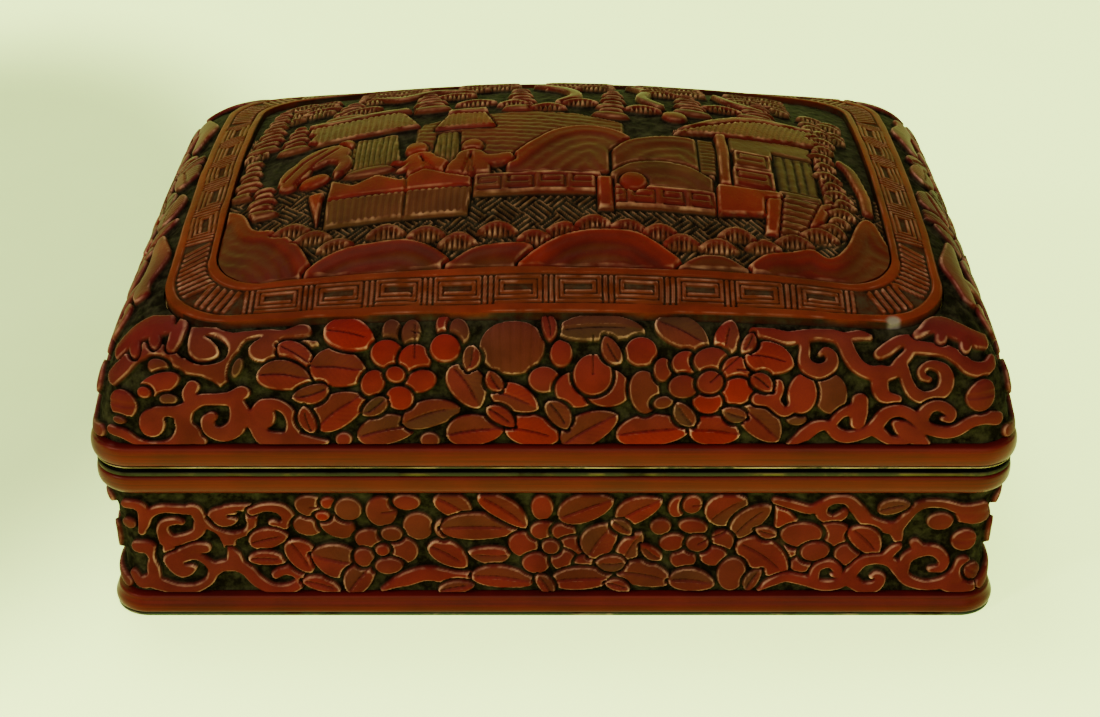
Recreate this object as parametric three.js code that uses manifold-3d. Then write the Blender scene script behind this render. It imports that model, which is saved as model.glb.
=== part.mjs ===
// Carved cinnabar lacquer box: a sheet brass body under carved red lacquer, with a domed lid that lifts off.
// Millimetres, +Z up. The origin is under the middle of the box, X runs along the front, -Y faces the viewer.

import * as THREE from 'three';
import { mergeVertices } from 'three/addons/utils/BufferGeometryUtils.js';
import Module from 'manifold-3d';

const wasm = await Module();
wasm.setup();

// Overall form, seen from above a rectangle with rounded corners
const boxLength = 152;
const boxWidth = 104;
const rimCorner = 7;
const baseHeight = 29.6;
const lidGap = 0.6;

// Lid: a full shoulder rises from the rim to the fret border, and a low crown lies over everything
const shoulderRise = 22.4;
const shoulderFullness = 2.2;
const crownRise = 17.4;
const borderSideInset = 12.2;
const borderFrontInset = 5.7;
const borderCorner = 11.6;
const borderBand = 8;
const borderEdgeWidth = 0.9;
const fretDepth = 0.5;
const sceneCorner = 9;

// Layers of the wall, from the carved face inward
const pieceGap = 0.3;
const reliefDepth = 1.3;
const lidCoat = 2.4;
const brassSheet = 0.8;
const liningCoat = 0.6;

// Lid edge
const lidWireHeight = 0.5;
const lidWireInset = 0.25;
const lidMouldingHeight = 3.4;
const lidMouldingBulge = 0.35;

// Base wall, which draws in between its two mouldings
const baseBrassInset = 4.2;
const baseWaist = 0.9;
const friezeTopInset = 0.7;
const friezeFootInset = 1.1;
const rimWireHeight = 1;
const rimWireInset = 0.35;
const upperMouldingHeight = 3.4;
const upperMouldingInset = 0.15;
const upperMouldingUndercut = 1;
const footMouldingHeight = 3.1;
const footMouldingTopInset = 1.1;
const footMouldingBottomInset = 0.45;
const footWireHeight = 0.4;
const footWireInset = 0.6;
const undersideRise = 0.35;
const undersideCoat = 0.5;
const floorRise = 1.2;
const lipRise = 4;
const lipDrop = 6.6;
const lipSheet = 0.6;

// Carving: how far each kind of form stands below the finished face at its edge
const leafEdgeDrop = 0.4;
const bloomEdgeDrop = 0.35;
const scrollEdgeDrop = 0.1;
const carvingRoot = 0.6;
const bloomNotch = 0.24;
const petals = 5;
const petalShare = 0.26;
const scrollSweep = 4.7;
const scrollTail = 0.22;
const scrollStem = 0.52;
const scrollThinning = 0.4;

// Carving of a long lid frieze. A carving is drawn in shares of half its face's length, upward from its foot,
// and its drawn height is stretched to the real one. Turns are in degrees.
const lidLongShares = {
  height: 0.3,
  leaves: [
    { along: -0.355, up: 0.041, long: 0.118, wide: 0.061, turn: 8 },
    { along: -0.167, up: 0.041, long: 0.118, wide: 0.063, turn: 5 },
    { along: -0.045, up: 0.043, long: 0.105, wide: 0.061, turn: -15 },
    { along: -0.474, up: 0.084, long: 0.118, wide: 0.074, turn: 35 },
    { along: -0.466, up: 0.183, long: 0.118, wide: 0.082, turn: -8 },
    { along: -0.6, up: 0.164, long: 0.109, wide: 0.066, turn: -10 },
    { along: -0.074, up: 0.229, long: 0.145, wide: 0.087, turn: -12 },
    { along: 0.084, up: 0.046, long: 0.118, wide: 0.063, turn: 20 },
    { along: 0.221, up: 0.043, long: 0.132, wide: 0.063, turn: 6 },
    { along: 0.453, up: 0.054, long: 0.103, wide: 0.061, turn: -48 },
    { along: 0.474, up: 0.22, long: 0.105, wide: 0.068, turn: -15 },
    { along: 0.489, up: 0.13, long: 0.089, wide: 0.061, turn: 80 },
  ],
  blooms: [
    { along: -0.324, up: 0.17, wide: 0.163 },
    { along: 0.082, up: 0.141, wide: 0.139 },
    { along: 0.308, up: 0.151, wide: 0.163 },
  ],
  scrolls: [
    { along: -0.711, up: 0.072, wide: 0.105, turn: 60 },
    { along: -0.753, up: 0.222, wide: 0.105, turn: -20 },
    { along: 0.597, up: 0.146, wide: 0.111, turn: 120 },
    { along: 0.726, up: 0.07, wide: 0.1, turn: 100 },
    { along: 0.776, up: 0.196, wide: 0.118, turn: 150 },
    { along: 0.868, up: 0.078, wide: 0.097, turn: 60 },
  ],
};

// Carving of a short lid frieze
const lidShortShares = {
  height: 0.525,
  leaves: [
    { along: -0.242, up: 0.067, long: 0.173, wide: 0.096, turn: 18 },
    { along: 0.235, up: 0.067, long: 0.173, wide: 0.096, turn: -16 },
    { along: -0.223, up: 0.31, long: 0.173, wide: 0.108, turn: -24 },
    { along: 0.227, up: 0.306, long: 0.173, wide: 0.104, turn: 22 },
    { along: 0.008, up: 0.402, long: 0.154, wide: 0.085, turn: 6 },
  ],
  blooms: [
    { along: 0, up: 0.221, wide: 0.238 },
  ],
  scrolls: [
    { along: -0.454, up: 0.125, wide: 0.154, turn: 60 },
    { along: -0.431, up: 0.317, wide: 0.146, turn: -30 },
    { along: 0.45, up: 0.125, wide: 0.154, turn: 110 },
    { along: 0.435, up: 0.325, wide: 0.146, turn: 160 },
  ],
};

// Carving of a long base frieze
const baseLongShares = {
  height: 0.27,
  leaves: [
    { along: -0.311, up: 0.037, long: 0.145, wide: 0.05, turn: 8 },
    { along: -0.121, up: 0.037, long: 0.132, wide: 0.055, turn: -3 },
    { along: -0.129, up: 0.183, long: 0.132, wide: 0.061, turn: -6 },
    { along: -0.271, up: 0.225, long: 0.097, wide: 0.058, turn: -10 },
    { along: -0.508, up: 0.112, long: 0.105, wide: 0.071, turn: 24 },
    { along: 0.055, up: 0.222, long: 0.118, wide: 0.063, turn: 16 },
    { along: 0.187, up: 0.222, long: 0.108, wide: 0.061, turn: 24 },
    { along: 0.061, up: 0.034, long: 0.126, wide: 0.053, turn: 2 },
    { along: 0.197, up: 0.049, long: 0.113, wide: 0.063, turn: -18 },
    { along: 0.487, up: 0.101, long: 0.132, wide: 0.071, turn: -38 },
    { along: 0.395, up: 0.222, long: 0.1, wide: 0.063, turn: 14 },
  ],
  blooms: [
    { along: -0.371, up: 0.136, wide: 0.139 },
    { along: 0, up: 0.125, wide: 0.132 },
    { along: 0.324, up: 0.122, wide: 0.139 },
  ],
  scrolls: [
    { along: -0.829, up: 0.191, wide: 0.113, turn: 50 },
    { along: -0.824, up: 0.07, wide: 0.113, turn: 100 },
    { along: -0.692, up: 0.196, wide: 0.1, turn: 20 },
    { along: 0.624, up: 0.207, wide: 0.092, turn: 140 },
    { along: 0.716, up: 0.057, wide: 0.095, turn: 90 },
    { along: 0.842, up: 0.083, wide: 0.105, turn: 70 },
  ],
};

// Carving of a short base frieze
const baseShortShares = {
  height: 0.394,
  leaves: [
    { along: -0.219, up: 0.063, long: 0.181, wide: 0.081, turn: 10 },
    { along: 0.219, up: 0.063, long: 0.181, wide: 0.081, turn: -10 },
    { along: -0.215, up: 0.317, long: 0.173, wide: 0.088, turn: -16 },
    { along: 0.215, up: 0.317, long: 0.173, wide: 0.088, turn: 16 },
  ],
  blooms: [
    { along: 0, up: 0.19, wide: 0.212 },
  ],
  scrolls: [
    { along: -0.454, up: 0.19, wide: 0.181, turn: 60 },
    { along: 0.454, up: 0.19, wide: 0.181, turn: 110 },
  ],
};

// Garden scene on the crown, drawn from its middle in shares of half its length: x runs along the front and
// y away from the viewer. Reach is half the scene's drawn depth.
const sceneEdgeDrop = 0.35;
const roofRidge = 0.5;
const sceneShares = {
  reach: 0.685,
  hills: [
    { x: 0.171, y: -0.677, wide: 0.432, high: 0.126 },
    { x: -0.541, y: -0.667, wide: 0.342, high: 0.079 },
    { x: -0.189, y: -0.67, wide: 0.18, high: 0.058 },
    { x: 0.64, y: -0.652, wide: 0.306, high: 0.083 },
    { x: 0.119, y: -0.155, wide: 0.234, high: 0.09 },
  ],
  walls: {
    drapedTable: { x: -0.468, y: -0.404, wide: 0.425, high: 0.169 },
    leftRail: { x: -0.043, y: -0.371, wide: 0.353, high: 0.083 },
    rightRail: { x: 0.328, y: -0.414, wide: 0.281, high: 0.086 },
    terrace: { x: 0.577, y: -0.396, wide: 0.18, high: 0.119 },
    pavilion: { x: 0.613, y: -0.173, wide: 0.205, high: 0.288 },
    leftHouse: { x: -0.677, y: 0.036, wide: 0.36, high: 0.09 },
  },
  roofs: [
    { x: 0.641, y: -0.018, wide: 0.505, high: 0.151 },
    { x: -0.674, y: 0.09, wide: 0.468, high: 0.126 },
    { x: -0.281, y: 0.083, wide: 0.18, high: 0.097 },
  ],
  figures: [
    { x: -0.432, y: -0.173, wide: 0.072, high: 0.126 },
    { x: -0.245, y: -0.155, wide: 0.079, high: 0.151 },
    { x: -0.8, y: -0.144, wide: 0.115, high: 0.198 },
  ],
  sideRocks: [
    { x: -0.894, y: -0.432, wide: 0.126, high: 0.324, turn: 34 },
    { x: 0.894, y: -0.396, wide: 0.108, high: 0.36, turn: -30 },
  ],
  trees: [
    { x: -0.82, y: 0.42, wide: 0.23, high: 0.24 },
    { x: -0.541, y: 0.495, wide: 0.26, high: 0.24 },
    { x: -0.225, y: 0.51, wide: 0.26, high: 0.24 },
    { x: 0.09, y: 0.505, wide: 0.26, high: 0.24 },
    { x: 0.395, y: 0.505, wide: 0.26, high: 0.24 },
    { x: 0.72, y: 0.42, wide: 0.28, high: 0.26 },
  ],
  gardenRocks: [
    { x: -0.685, y: 0.29, wide: 0.13, high: 0.22 },
    { x: -0.415, y: 0.27, wide: 0.13, high: 0.25 },
    { x: -0.15, y: 0.205, wide: 0.21, high: 0.23 },
    { x: 0.115, y: 0.2, wide: 0.23, high: 0.25 },
    { x: 0.39, y: 0.24, wide: 0.25, high: 0.23 },
  ],
};

// Layer positions that follow from the values above
const lidEdge = baseHeight + lidGap;
const lidBrassDepth = lidCoat + pieceGap;
const lidLiningDepth = lidBrassDepth + brassSheet + pieceGap;
const lidSheetRise = lidWireHeight + pieceGap;
const lidFriezeRise = lidSheetRise + lidMouldingHeight + pieceGap;
const lidWallDepth = lidLiningDepth + liningCoat;
const baseLiningInset = baseBrassInset + brassSheet + pieceGap;
const baseCoatInset = baseBrassInset - pieceGap;
const rimWireFoot = baseHeight - rimWireHeight;
const upperMouldingTop = rimWireFoot - pieceGap;
const upperMouldingFoot = upperMouldingTop - upperMouldingHeight;
const baseFriezeTop = upperMouldingFoot - pieceGap;
const footMouldingFoot = footWireHeight + pieceGap;
const footMouldingTop = footMouldingFoot + footMouldingHeight;
const baseFriezeFoot = footMouldingTop + pieceGap;
const undersideTop = undersideRise + undersideCoat;
const bottomFoot = undersideTop + pieceGap;
const bottomTop = bottomFoot + brassSheet;
const liningFoot = bottomTop + pieceGap;
const liningTop = baseHeight - lipDrop - pieceGap;

// Mesh fineness
const longRuns = 6;
const shortRuns = 4;
const cornerTurns = [22.5, 45];
const shoulderSteps = [26, 48, 68, 90];
const poleShares = [0, 0.38, 0.72];
const arcSamples = 60;
const scrollSteps = 5;
const hillSteps = 6;
const ovalSteps = 6;

// Finishes
const cinnabar = { color: 0x7a2a18, roughness: 0.34, metalness: 0 };
const cinnabarBright = { color: 0x8e2f1b, roughness: 0.32, metalness: 0 };
const blackLacquer = { color: 0x17120f, roughness: 0.3, metalness: 0 };
const paleBrass = { color: 0xb29a62, roughness: 0.38, metalness: 1 };
const tarnishedBrass = { color: 0x6d6b3c, roughness: 0.55, metalness: 1 };

const box = new THREE.Group();
const base = new THREE.Group();
const lid = new THREE.Group();
box.add(base, lid);

function addMesh(group, name, geometry, finish) {
  const mesh = new THREE.Mesh(geometry, new THREE.MeshStandardMaterial(finish));
  mesh.name = name;
  group.add(mesh);
}

// A place on a rounded rectangle: side 0 is the front, then right, back and left. Run goes from -1 to 1
// between the corners, and turn is the angle into the corner at either end.
function onOutline(halfX, halfY, corner, { side, run, turn }) {
  const halfAlong = side % 2 === 0 ? halfX : halfY;
  const halfAcross = side % 2 === 0 ? halfY : halfX;
  const along = run * (halfAlong - corner) + corner * Math.sin(turn);
  const across = halfAcross - corner + corner * Math.cos(turn);
  return new THREE.Vector2(along, -across).rotateAround(new THREE.Vector2(), (side * Math.PI) / 2);
}

function halfLengthOf(side) {
  return (side % 2 === 0 ? boxLength : boxWidth) / 2;
}

// The same place given in millimetres from the middle of the side, round the corner where it is long enough
function placeAlong(side, along) {
  return (halfX, halfY, corner) => {
    const straight = (side % 2 === 0 ? halfX : halfY) - corner;
    const run = THREE.MathUtils.clamp(along / straight, -1, 1);
    const turn = (along - run * straight) / corner;
    return onOutline(halfX, halfY, corner, { side, run, turn });
  };
}

// All places of one side, from the middle of one corner to the middle of the next
function sidePlaces(side, runs, seam) {
  const corners = cornerTurns.map(THREE.MathUtils.degToRad);
  const last = corners.length - 1;
  corners[last] -= seam / (2 * rimCorner);
  const places = corners.map((turn) => ({ side, run: -1, turn: -turn })).reverse();
  for (let i = 0; i <= runs; i += 1) {
    places.push({ side, run: (2 * i) / runs - 1, turn: 0 });
  }
  corners.forEach((turn) => places.push({ side, run: 1, turn }));
  return places.map((place) => (halfX, halfY, corner) => onOutline(halfX, halfY, corner, place));
}

// All places round the box, once
function loopPlaces(runsLong, runsShort) {
  const runsOf = [runsLong, runsShort, runsLong, runsShort];
  return runsOf.flatMap((runs, side) => sidePlaces(side, runs, 0).slice(0, -1));
}

// The crown is highest at the middle of the lid and dies out at its rim
function crownAt(x, y) {
  const acrossX = 1 - (2 * x / boxLength) ** 2;
  const acrossY = 1 - (2 * y / boxWidth) ** 2;
  return crownRise * acrossX * acrossY;
}

// A point of the lid's shoulder: angle 0 is the rim and 90 the edge of the border. Each layer of the wall
// is the same arch, smaller by its depth.
function shoulderPoint(place, angle, depth) {
  const inward = Math.cos(angle) ** (2 / shoulderFullness);
  const upward = Math.sin(angle) ** (2 / shoulderFullness);
  const halfX = boxLength / 2 - borderSideInset * (1 - inward);
  const halfY = boxWidth / 2 - borderFrontInset * (1 - inward);
  const corner = borderCorner + (rimCorner - borderCorner) * inward;
  const face = place(halfX, halfY, corner);
  const sunk = depth * inward;
  const spot = place(halfX - sunk, halfY - sunk, corner - sunk);
  const z = lidEdge + (shoulderRise - depth) * upward + crownAt(face.x, face.y);
  return new THREE.Vector3(spot.x, spot.y, z);
}

// The shoulder angle at which a layer stands a given height above the lid's edge
function angleAtHeight(height, depth) {
  return Math.asin((height / (shoulderRise - depth)) ** (shoulderFullness / 2));
}

// Lengths up the finished face of the shoulder, measured at the middle of a side
function shoulderArc(side) {
  const middle = placeAlong(side, 0);
  const samples = [{ angle: 0, up: 0 }];
  let last = shoulderPoint(middle, 0, 0);
  for (let i = 1; i <= arcSamples; i += 1) {
    const angle = (i / arcSamples) * (Math.PI / 2);
    const point = shoulderPoint(middle, angle, 0);
    samples.push({ angle, up: samples[i - 1].up + point.distanceTo(last) });
    last = point;
  }
  return samples;
}

function angleAtUp(arc, up) {
  const next = Math.max(arc.findIndex((sample) => sample.up > up), 1);
  const before = arc[next - 1];
  const share = (up - before.up) / (arc[next].up - before.up);
  return THREE.MathUtils.lerp(before.angle, arc[next].angle, share);
}

// A point of the flat-looking top, which only the crown bends
function topPoint(x, y, depth) {
  return new THREE.Vector3(x, y, lidEdge + shoulderRise - depth + crownAt(x, y));
}

// Outline of the top, drawn in from the border's outer edge. It shrinks toward the pole as a whole.
function topRow(places, inset, corner, depth, share = 0) {
  const halfX = (boxLength / 2 - borderSideInset - inset) * (1 - share);
  const halfY = (boxWidth / 2 - borderFrontInset - inset) * (1 - share);
  return places.map((place) => {
    const spot = place(halfX, halfY, corner * (1 - share));
    return topPoint(spot.x, spot.y, depth);
  });
}

// The border's corners tighten from its outer edge to the scene
function borderCornerAt(inset) {
  return THREE.MathUtils.lerp(borderCorner, sceneCorner, inset / borderBand);
}

function sceneRows(places, depth) {
  const inset = borderBand + pieceGap;
  const rows = poleShares.map((share) => topRow(places, inset, sceneCorner, depth, share));
  return [...rows, [topPoint(0, 0, depth)]];
}

// Closes two matching stacks of rows, an outer and an inner face, into one solid. Rows either run round
// as loops or end at two side edges, and a last row of one point closes as a pole.
function closedShell(outer, inner, loop) {
  const flat = [...outer.flat(), ...inner.flat()];
  const index = [];
  const width = outer[0].length;
  const innerStart = outer.flat().length;
  const rowStart = outer.map((row, i) => outer.slice(0, i).flat().length);
  const columns = loop ? width : width - 1;
  const hasPole = outer[outer.length - 1].length === 1;
  const quad = (a, b, c, d) => index.push(a, b, c, a, c, d);
  for (let row = 0; row < outer.length - 1; row += 1) {
    const low = rowStart[row];
    const high = rowStart[row + 1];
    const isPole = hasPole && row === outer.length - 2;
    for (let i = 0; i < columns; i += 1) {
      const j = (i + 1) % width;
      if (isPole) {
        index.push(low + i, low + j, high);
        index.push(innerStart + low + j, innerStart + low + i, innerStart + high);
      } else {
        quad(low + i, low + j, high + j, high + i);
        quad(innerStart + low + j, innerStart + low + i, innerStart + high + i, innerStart + high + j);
      }
    }
    if (!loop) {
      const end = width - 1;
      quad(innerStart + low, low, high, innerStart + high);
      quad(low + end, innerStart + low + end, innerStart + high + end, high + end);
    }
  }
  const top = rowStart[rowStart.length - 1];
  for (let i = 0; i < columns; i += 1) {
    const j = (i + 1) % width;
    quad(innerStart + i, innerStart + j, j, i);
    if (!hasPole) {
      quad(top + i, top + j, innerStart + top + j, innerStart + top + i);
    }
  }
  const geometry = new THREE.BufferGeometry().setFromPoints(flat);
  geometry.setIndex(index);
  geometry.computeVertexNormals();
  return geometry;
}

// A band that runs once round the box: the rows are the corners of its section, in order
function closedBand(rows) {
  const index = [];
  const width = rows[0].length;
  rows.forEach((row, r) => {
    const low = r * width;
    const high = ((r + 1) % rows.length) * width;
    row.forEach((point, i) => {
      const j = (i + 1) % width;
      index.push(low + i, low + j, high + j, low + i, high + j, high + i);
    });
  });
  const geometry = new THREE.BufferGeometry().setFromPoints(rows.flat());
  geometry.setIndex(index);
  geometry.computeVertexNormals();
  return geometry;
}

// The box's outline at an inset from the rim
function levelOutline(inset) {
  const halfX = boxLength / 2 - inset;
  const halfY = boxWidth / 2 - inset;
  return loopPlaces(1, 1).map((place) => place(halfX, halfY, rimCorner - inset));
}

// A level band round the box: its section is a closed list of inset and height
function levelBand(section) {
  return closedBand(section.map(([inset, z]) => (
    levelOutline(inset).map((spot) => new THREE.Vector3(spot.x, spot.y, z))
  )));
}

// A level plate with the box's outline
function levelPlate(inset, bottom, top) {
  const shape = new THREE.Shape(levelOutline(inset));
  const plate = new THREE.ExtrudeGeometry(shape, { depth: top - bottom, bevelEnabled: false });
  return plate.translate(0, 0, bottom);
}

function toSolid(geometry) {
  const bare = geometry.clone();
  bare.deleteAttribute('normal');
  bare.deleteAttribute('uv');
  const merged = mergeVertices(bare);
  return new wasm.Manifold(new wasm.Mesh({
    numProp: 3,
    vertProperties: merged.attributes.position.array,
    triVerts: new Uint32Array(merged.index.array),
  }));
}

function toGeometry(solid) {
  const mesh = solid.getMesh();
  const geometry = new THREE.BufferGeometry();
  geometry.setAttribute('position', new THREE.BufferAttribute(mesh.vertProperties, 3));
  geometry.setIndex(new THREE.BufferAttribute(mesh.triVerts, 1));
  const facets = geometry.toNonIndexed();
  facets.computeVertexNormals();
  return facets;
}

// A raised form on a carved face. Its outline goes round counter-clockwise, it is rooted in the ground
// and its edge stands a little below the finished face, which a crest point reaches where there is one.
function raisedForm(outline, crest, edgeDrop, surface) {
  const count = outline.length;
  const points = outline.map((spot) => surface(spot.x, spot.y, reliefDepth + carvingRoot));
  outline.forEach((spot) => points.push(surface(spot.x, spot.y, edgeDrop)));
  const index = [];
  for (let i = 0; i < count; i += 1) {
    const j = (i + 1) % count;
    index.push(i, j, count + j, i, count + j, count + i);
  }
  const faces = THREE.ShapeUtils.triangulateShape(outline, []);
  faces.forEach(([a, b, c]) => index.push(a, c, b));
  if (crest) {
    points.push(surface(crest.x, crest.y, 0));
    outline.forEach((spot, i) => index.push(count + i, count + ((i + 1) % count), 2 * count));
  } else {
    faces.forEach(([a, b, c]) => index.push(count + a, count + b, count + c));
  }
  const geometry = new THREE.BufferGeometry().setFromPoints(points);
  geometry.setIndex(index);
  return geometry;
}

function turned(points, x, y, turn) {
  const angle = THREE.MathUtils.degToRad(turn);
  return points.map((point) => point.rotateAround(new THREE.Vector2(), angle).add(new THREE.Vector2(x, y)));
}

// Leaf: pointed at both ends and fullest behind the middle
function leafForm({ along, up, long, wide, turn }, surface) {
  const outline = [[-0.5, 0], [-0.14, -0.48], [0.26, -0.36], [0.5, 0], [0.26, 0.36], [-0.14, 0.48]];
  const shape = outline.map(([x, y]) => new THREE.Vector2(x * long, y * wide));
  return raisedForm(turned(shape, along, up, turn), new THREE.Vector2(along, up), leafEdgeDrop, surface);
}

// Flower: five rounded petals, with a notch between each two
function bloomForm({ along, up, wide }, surface) {
  const outline = [];
  const around = (turns) => turns * 2 * Math.PI + Math.PI / 2;
  for (let petal = 0; petal < petals; petal += 1) {
    [-petalShare, petalShare, 0.5].forEach((step) => {
      const angle = around((petal + step) / petals);
      const reach = (wide / 2) * (step === 0.5 ? 1 - bloomNotch : 1);
      outline.push(new THREE.Vector2(along + reach * Math.cos(angle), up + reach * Math.sin(angle)));
    });
  }
  return raisedForm(outline, new THREE.Vector2(along, up), bloomEdgeDrop, surface);
}

// Scroll: a stem that curls round on itself and thins toward its inner end
function scrollForm({ along, up, wide, turn }, surface) {
  const outer = [];
  const inner = [];
  for (let i = 0; i <= scrollSteps; i += 1) {
    const share = i / scrollSteps;
    const angle = share * scrollSweep;
    const reach = (wide / 2) * (1 - scrollTail * share);
    const bore = reach * (1 - scrollStem * (1 - scrollThinning * share));
    outer.push(new THREE.Vector2(reach * Math.cos(angle), reach * Math.sin(angle)));
    inner.unshift(new THREE.Vector2(bore * Math.cos(angle), bore * Math.sin(angle)));
  }
  return raisedForm(turned([...outer, ...inner], along, up, turn), null, scrollEdgeDrop, surface);
}

function carvedPanel(plate, shares, surface) {
  const forms = [
    ...shares.leaves.map((leaf) => leafForm(leaf, surface)),
    ...shares.blooms.map((bloom) => bloomForm(bloom, surface)),
    ...shares.scrolls.map((scroll) => scrollForm(scroll, surface)),
  ];
  return toGeometry(forms.reduce((solid, form) => solid.add(toSolid(form)), toSolid(plate)));
}

// Lid frieze on one side
function lidFrieze(side, runs, shares) {
  const places = sidePlaces(side, runs, pieceGap);
  const face = (depth) => {
    const angles = [angleAtHeight(lidFriezeRise, depth), ...shoulderSteps.map(THREE.MathUtils.degToRad)];
    return angles.map((angle) => places.map((place) => shoulderPoint(place, angle, depth)));
  };
  const arc = shoulderArc(side);
  const stretch = (arc[arcSamples].up - lidFriezeRise) / shares.height;
  const surface = (along, up, depth) => {
    const place = placeAlong(side, along * halfLengthOf(side));
    return shoulderPoint(place, angleAtUp(arc, lidFriezeRise + up * stretch), depth);
  };
  return carvedPanel(closedShell(face(reliefDepth), face(lidCoat), false), shares, surface);
}

// How far the base's finished face stands in from the rim at a height
function baseFaceInset(z) {
  const share = (z - baseFriezeFoot) / (baseFriezeTop - baseFriezeFoot);
  const straight = THREE.MathUtils.lerp(friezeFootInset, friezeTopInset, share);
  return straight + baseWaist * Math.sin(Math.PI * share);
}

function basePoint(place, z, inset) {
  const spot = place(boxLength / 2 - inset, boxWidth / 2 - inset, rimCorner - inset);
  return new THREE.Vector3(spot.x, spot.y, z);
}

// Base frieze on one side
function baseFrieze(side, shares) {
  const places = sidePlaces(side, 1, pieceGap);
  const heights = [0, 0.25, 0.5, 0.75, 1].map((share) => (
    THREE.MathUtils.lerp(baseFriezeFoot, baseFriezeTop, share)
  ));
  const outer = heights.map((z) => places.map((place) => (
    basePoint(place, z, baseFaceInset(z) + reliefDepth)
  )));
  const inner = heights.map((z) => places.map((place) => basePoint(place, z, baseCoatInset)));
  const stretch = (baseFriezeTop - baseFriezeFoot) / shares.height;
  const surface = (along, up, depth) => {
    const z = baseFriezeFoot + up * stretch;
    return basePoint(placeAlong(side, along * halfLengthOf(side)), z, baseFaceInset(z) + depth);
  };
  return carvedPanel(closedShell(outer, inner, false), shares, surface);
}

// Fret border: a band round the top between two raised plain edges
function fretBorder() {
  const places = loopPlaces(longRuns, shortRuns);
  const rowAt = (inset, depth) => topRow(places, inset, borderCornerAt(inset), depth);
  const outerEdge = pieceGap + borderEdgeWidth;
  const innerEdge = borderBand - borderEdgeWidth;
  return closedBand([
    rowAt(pieceGap, lidCoat),
    rowAt(pieceGap, 0),
    rowAt(outerEdge, 0),
    rowAt(outerEdge, fretDepth),
    rowAt(innerEdge, fretDepth),
    rowAt(innerEdge, 0),
    rowAt(borderBand, 0),
    rowAt(borderBand, lidCoat),
  ]);
}

// Hill or rounded rock, standing on its foot line
function hillForm({ x, y, wide, high }, surface) {
  const outline = [];
  for (let i = 0; i <= hillSteps; i += 1) {
    const angle = (i / hillSteps) * Math.PI;
    outline.push(new THREE.Vector2(x + (wide / 2) * Math.cos(angle), y + high * Math.sin(angle)));
  }
  return raisedForm(outline, new THREE.Vector2(x, y + high / 2), sceneEdgeDrop, surface);
}

// Plain upright piece of garden architecture
function wallForm({ x, y, wide, high }, surface) {
  const outline = [[-0.5, -0.5], [0.5, -0.5], [0.5, 0.5], [-0.5, 0.5]];
  const shape = outline.map(([right, up]) => new THREE.Vector2(x + right * wide, y + up * high));
  return raisedForm(shape, null, 0, surface);
}

// Tiled roof: wide swept eaves under a shorter ridge
function roofForm({ x, y, wide, high }, surface) {
  const eaves = [[-0.5, 0], [-0.25, 0.04], [0.25, 0.04], [0.5, 0]];
  const ridge = [[0.36, 0.5], [0.25, 1], [-0.25, 1], [-0.36, 0.5]];
  const shape = [...eaves, ...ridge].map(([right, up]) => new THREE.Vector2(x + right * wide, y + up * high));
  return raisedForm(shape, new THREE.Vector2(x, y + high * roofRidge), sceneEdgeDrop, surface);
}

// Rounded upright form, for small figures, rocks and tree crowns
function ovalForm({ x, y, wide, high, turn = 0 }, surface) {
  const outline = [];
  for (let i = 0; i < ovalSteps; i += 1) {
    const angle = (i / ovalSteps) * 2 * Math.PI;
    outline.push(new THREE.Vector2((wide / 2) * Math.cos(angle), (high / 2) * Math.sin(angle)));
  }
  return raisedForm(turned(outline, x, y, turn), new THREE.Vector2(x, y), sceneEdgeDrop, surface);
}

function scenePanel() {
  const places = loopPlaces(longRuns, shortRuns);
  const plate = closedShell(sceneRows(places, reliefDepth), sceneRows(places, lidCoat), true);
  const halfLength = boxLength / 2 - borderSideInset - borderBand - pieceGap;
  const halfDepth = boxWidth / 2 - borderFrontInset - borderBand - pieceGap;
  const stretch = halfDepth / sceneShares.reach;
  const surface = (x, y, depth) => topPoint(x * halfLength, y * stretch, depth);
  const forms = [
    ...sceneShares.hills.map((hill) => hillForm(hill, surface)),
    ...Object.values(sceneShares.walls).map((wall) => wallForm(wall, surface)),
    ...sceneShares.roofs.map((roof) => roofForm(roof, surface)),
    ...sceneShares.figures.map((figure) => ovalForm(figure, surface)),
    ...sceneShares.sideRocks.map((rock) => ovalForm(rock, surface)),
    ...sceneShares.trees.map((tree) => ovalForm(tree, surface)),
    ...sceneShares.gardenRocks.map((rock) => ovalForm(rock, surface)),
  ];
  return toGeometry(forms.reduce((solid, form) => solid.add(toSolid(form)), toSolid(plate)));
}

// One thin domed layer under the carved coat, from just above the edge wire to the pole
function domedLayer(depth, thickness) {
  const places = loopPlaces(longRuns, shortRuns);
  const face = (sunk) => {
    const angles = [angleAtHeight(lidSheetRise, sunk), ...shoulderSteps.map(THREE.MathUtils.degToRad)];
    const shoulder = angles.map((angle) => places.map((place) => shoulderPoint(place, angle, sunk)));
    const middle = borderBand / 2;
    const border = topRow(places, middle, borderCornerAt(middle), sunk);
    return [...shoulder, border, ...sceneRows(places, sunk)];
  };
  return closedShell(face(depth), face(depth + thickness), true);
}

// Lid, from the edge up
const lidEdgeTop = lidEdge + lidWireHeight;
const mouldingFoot = lidEdge + lidSheetRise;
const mouldingTop = mouldingFoot + lidMouldingHeight;
addMesh(lid, 'lid_edge_wire', levelBand([
  [lidWireInset, lidEdge],
  [lidWireInset, lidEdgeTop],
  [lidWallDepth, lidEdgeTop],
  [lidWallDepth, lidEdge],
]), paleBrass);
addMesh(lid, 'lid_edge_moulding', levelBand([
  [lidMouldingBulge, mouldingFoot],
  [0, THREE.MathUtils.lerp(mouldingFoot, mouldingTop, 0.25)],
  [0, THREE.MathUtils.lerp(mouldingFoot, mouldingTop, 0.75)],
  [lidMouldingBulge, mouldingTop],
  [lidCoat, mouldingTop],
  [lidCoat, mouldingFoot],
]), cinnabar);
addMesh(lid, 'lid_frieze_front', lidFrieze(0, longRuns, lidLongShares), cinnabar);
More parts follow.
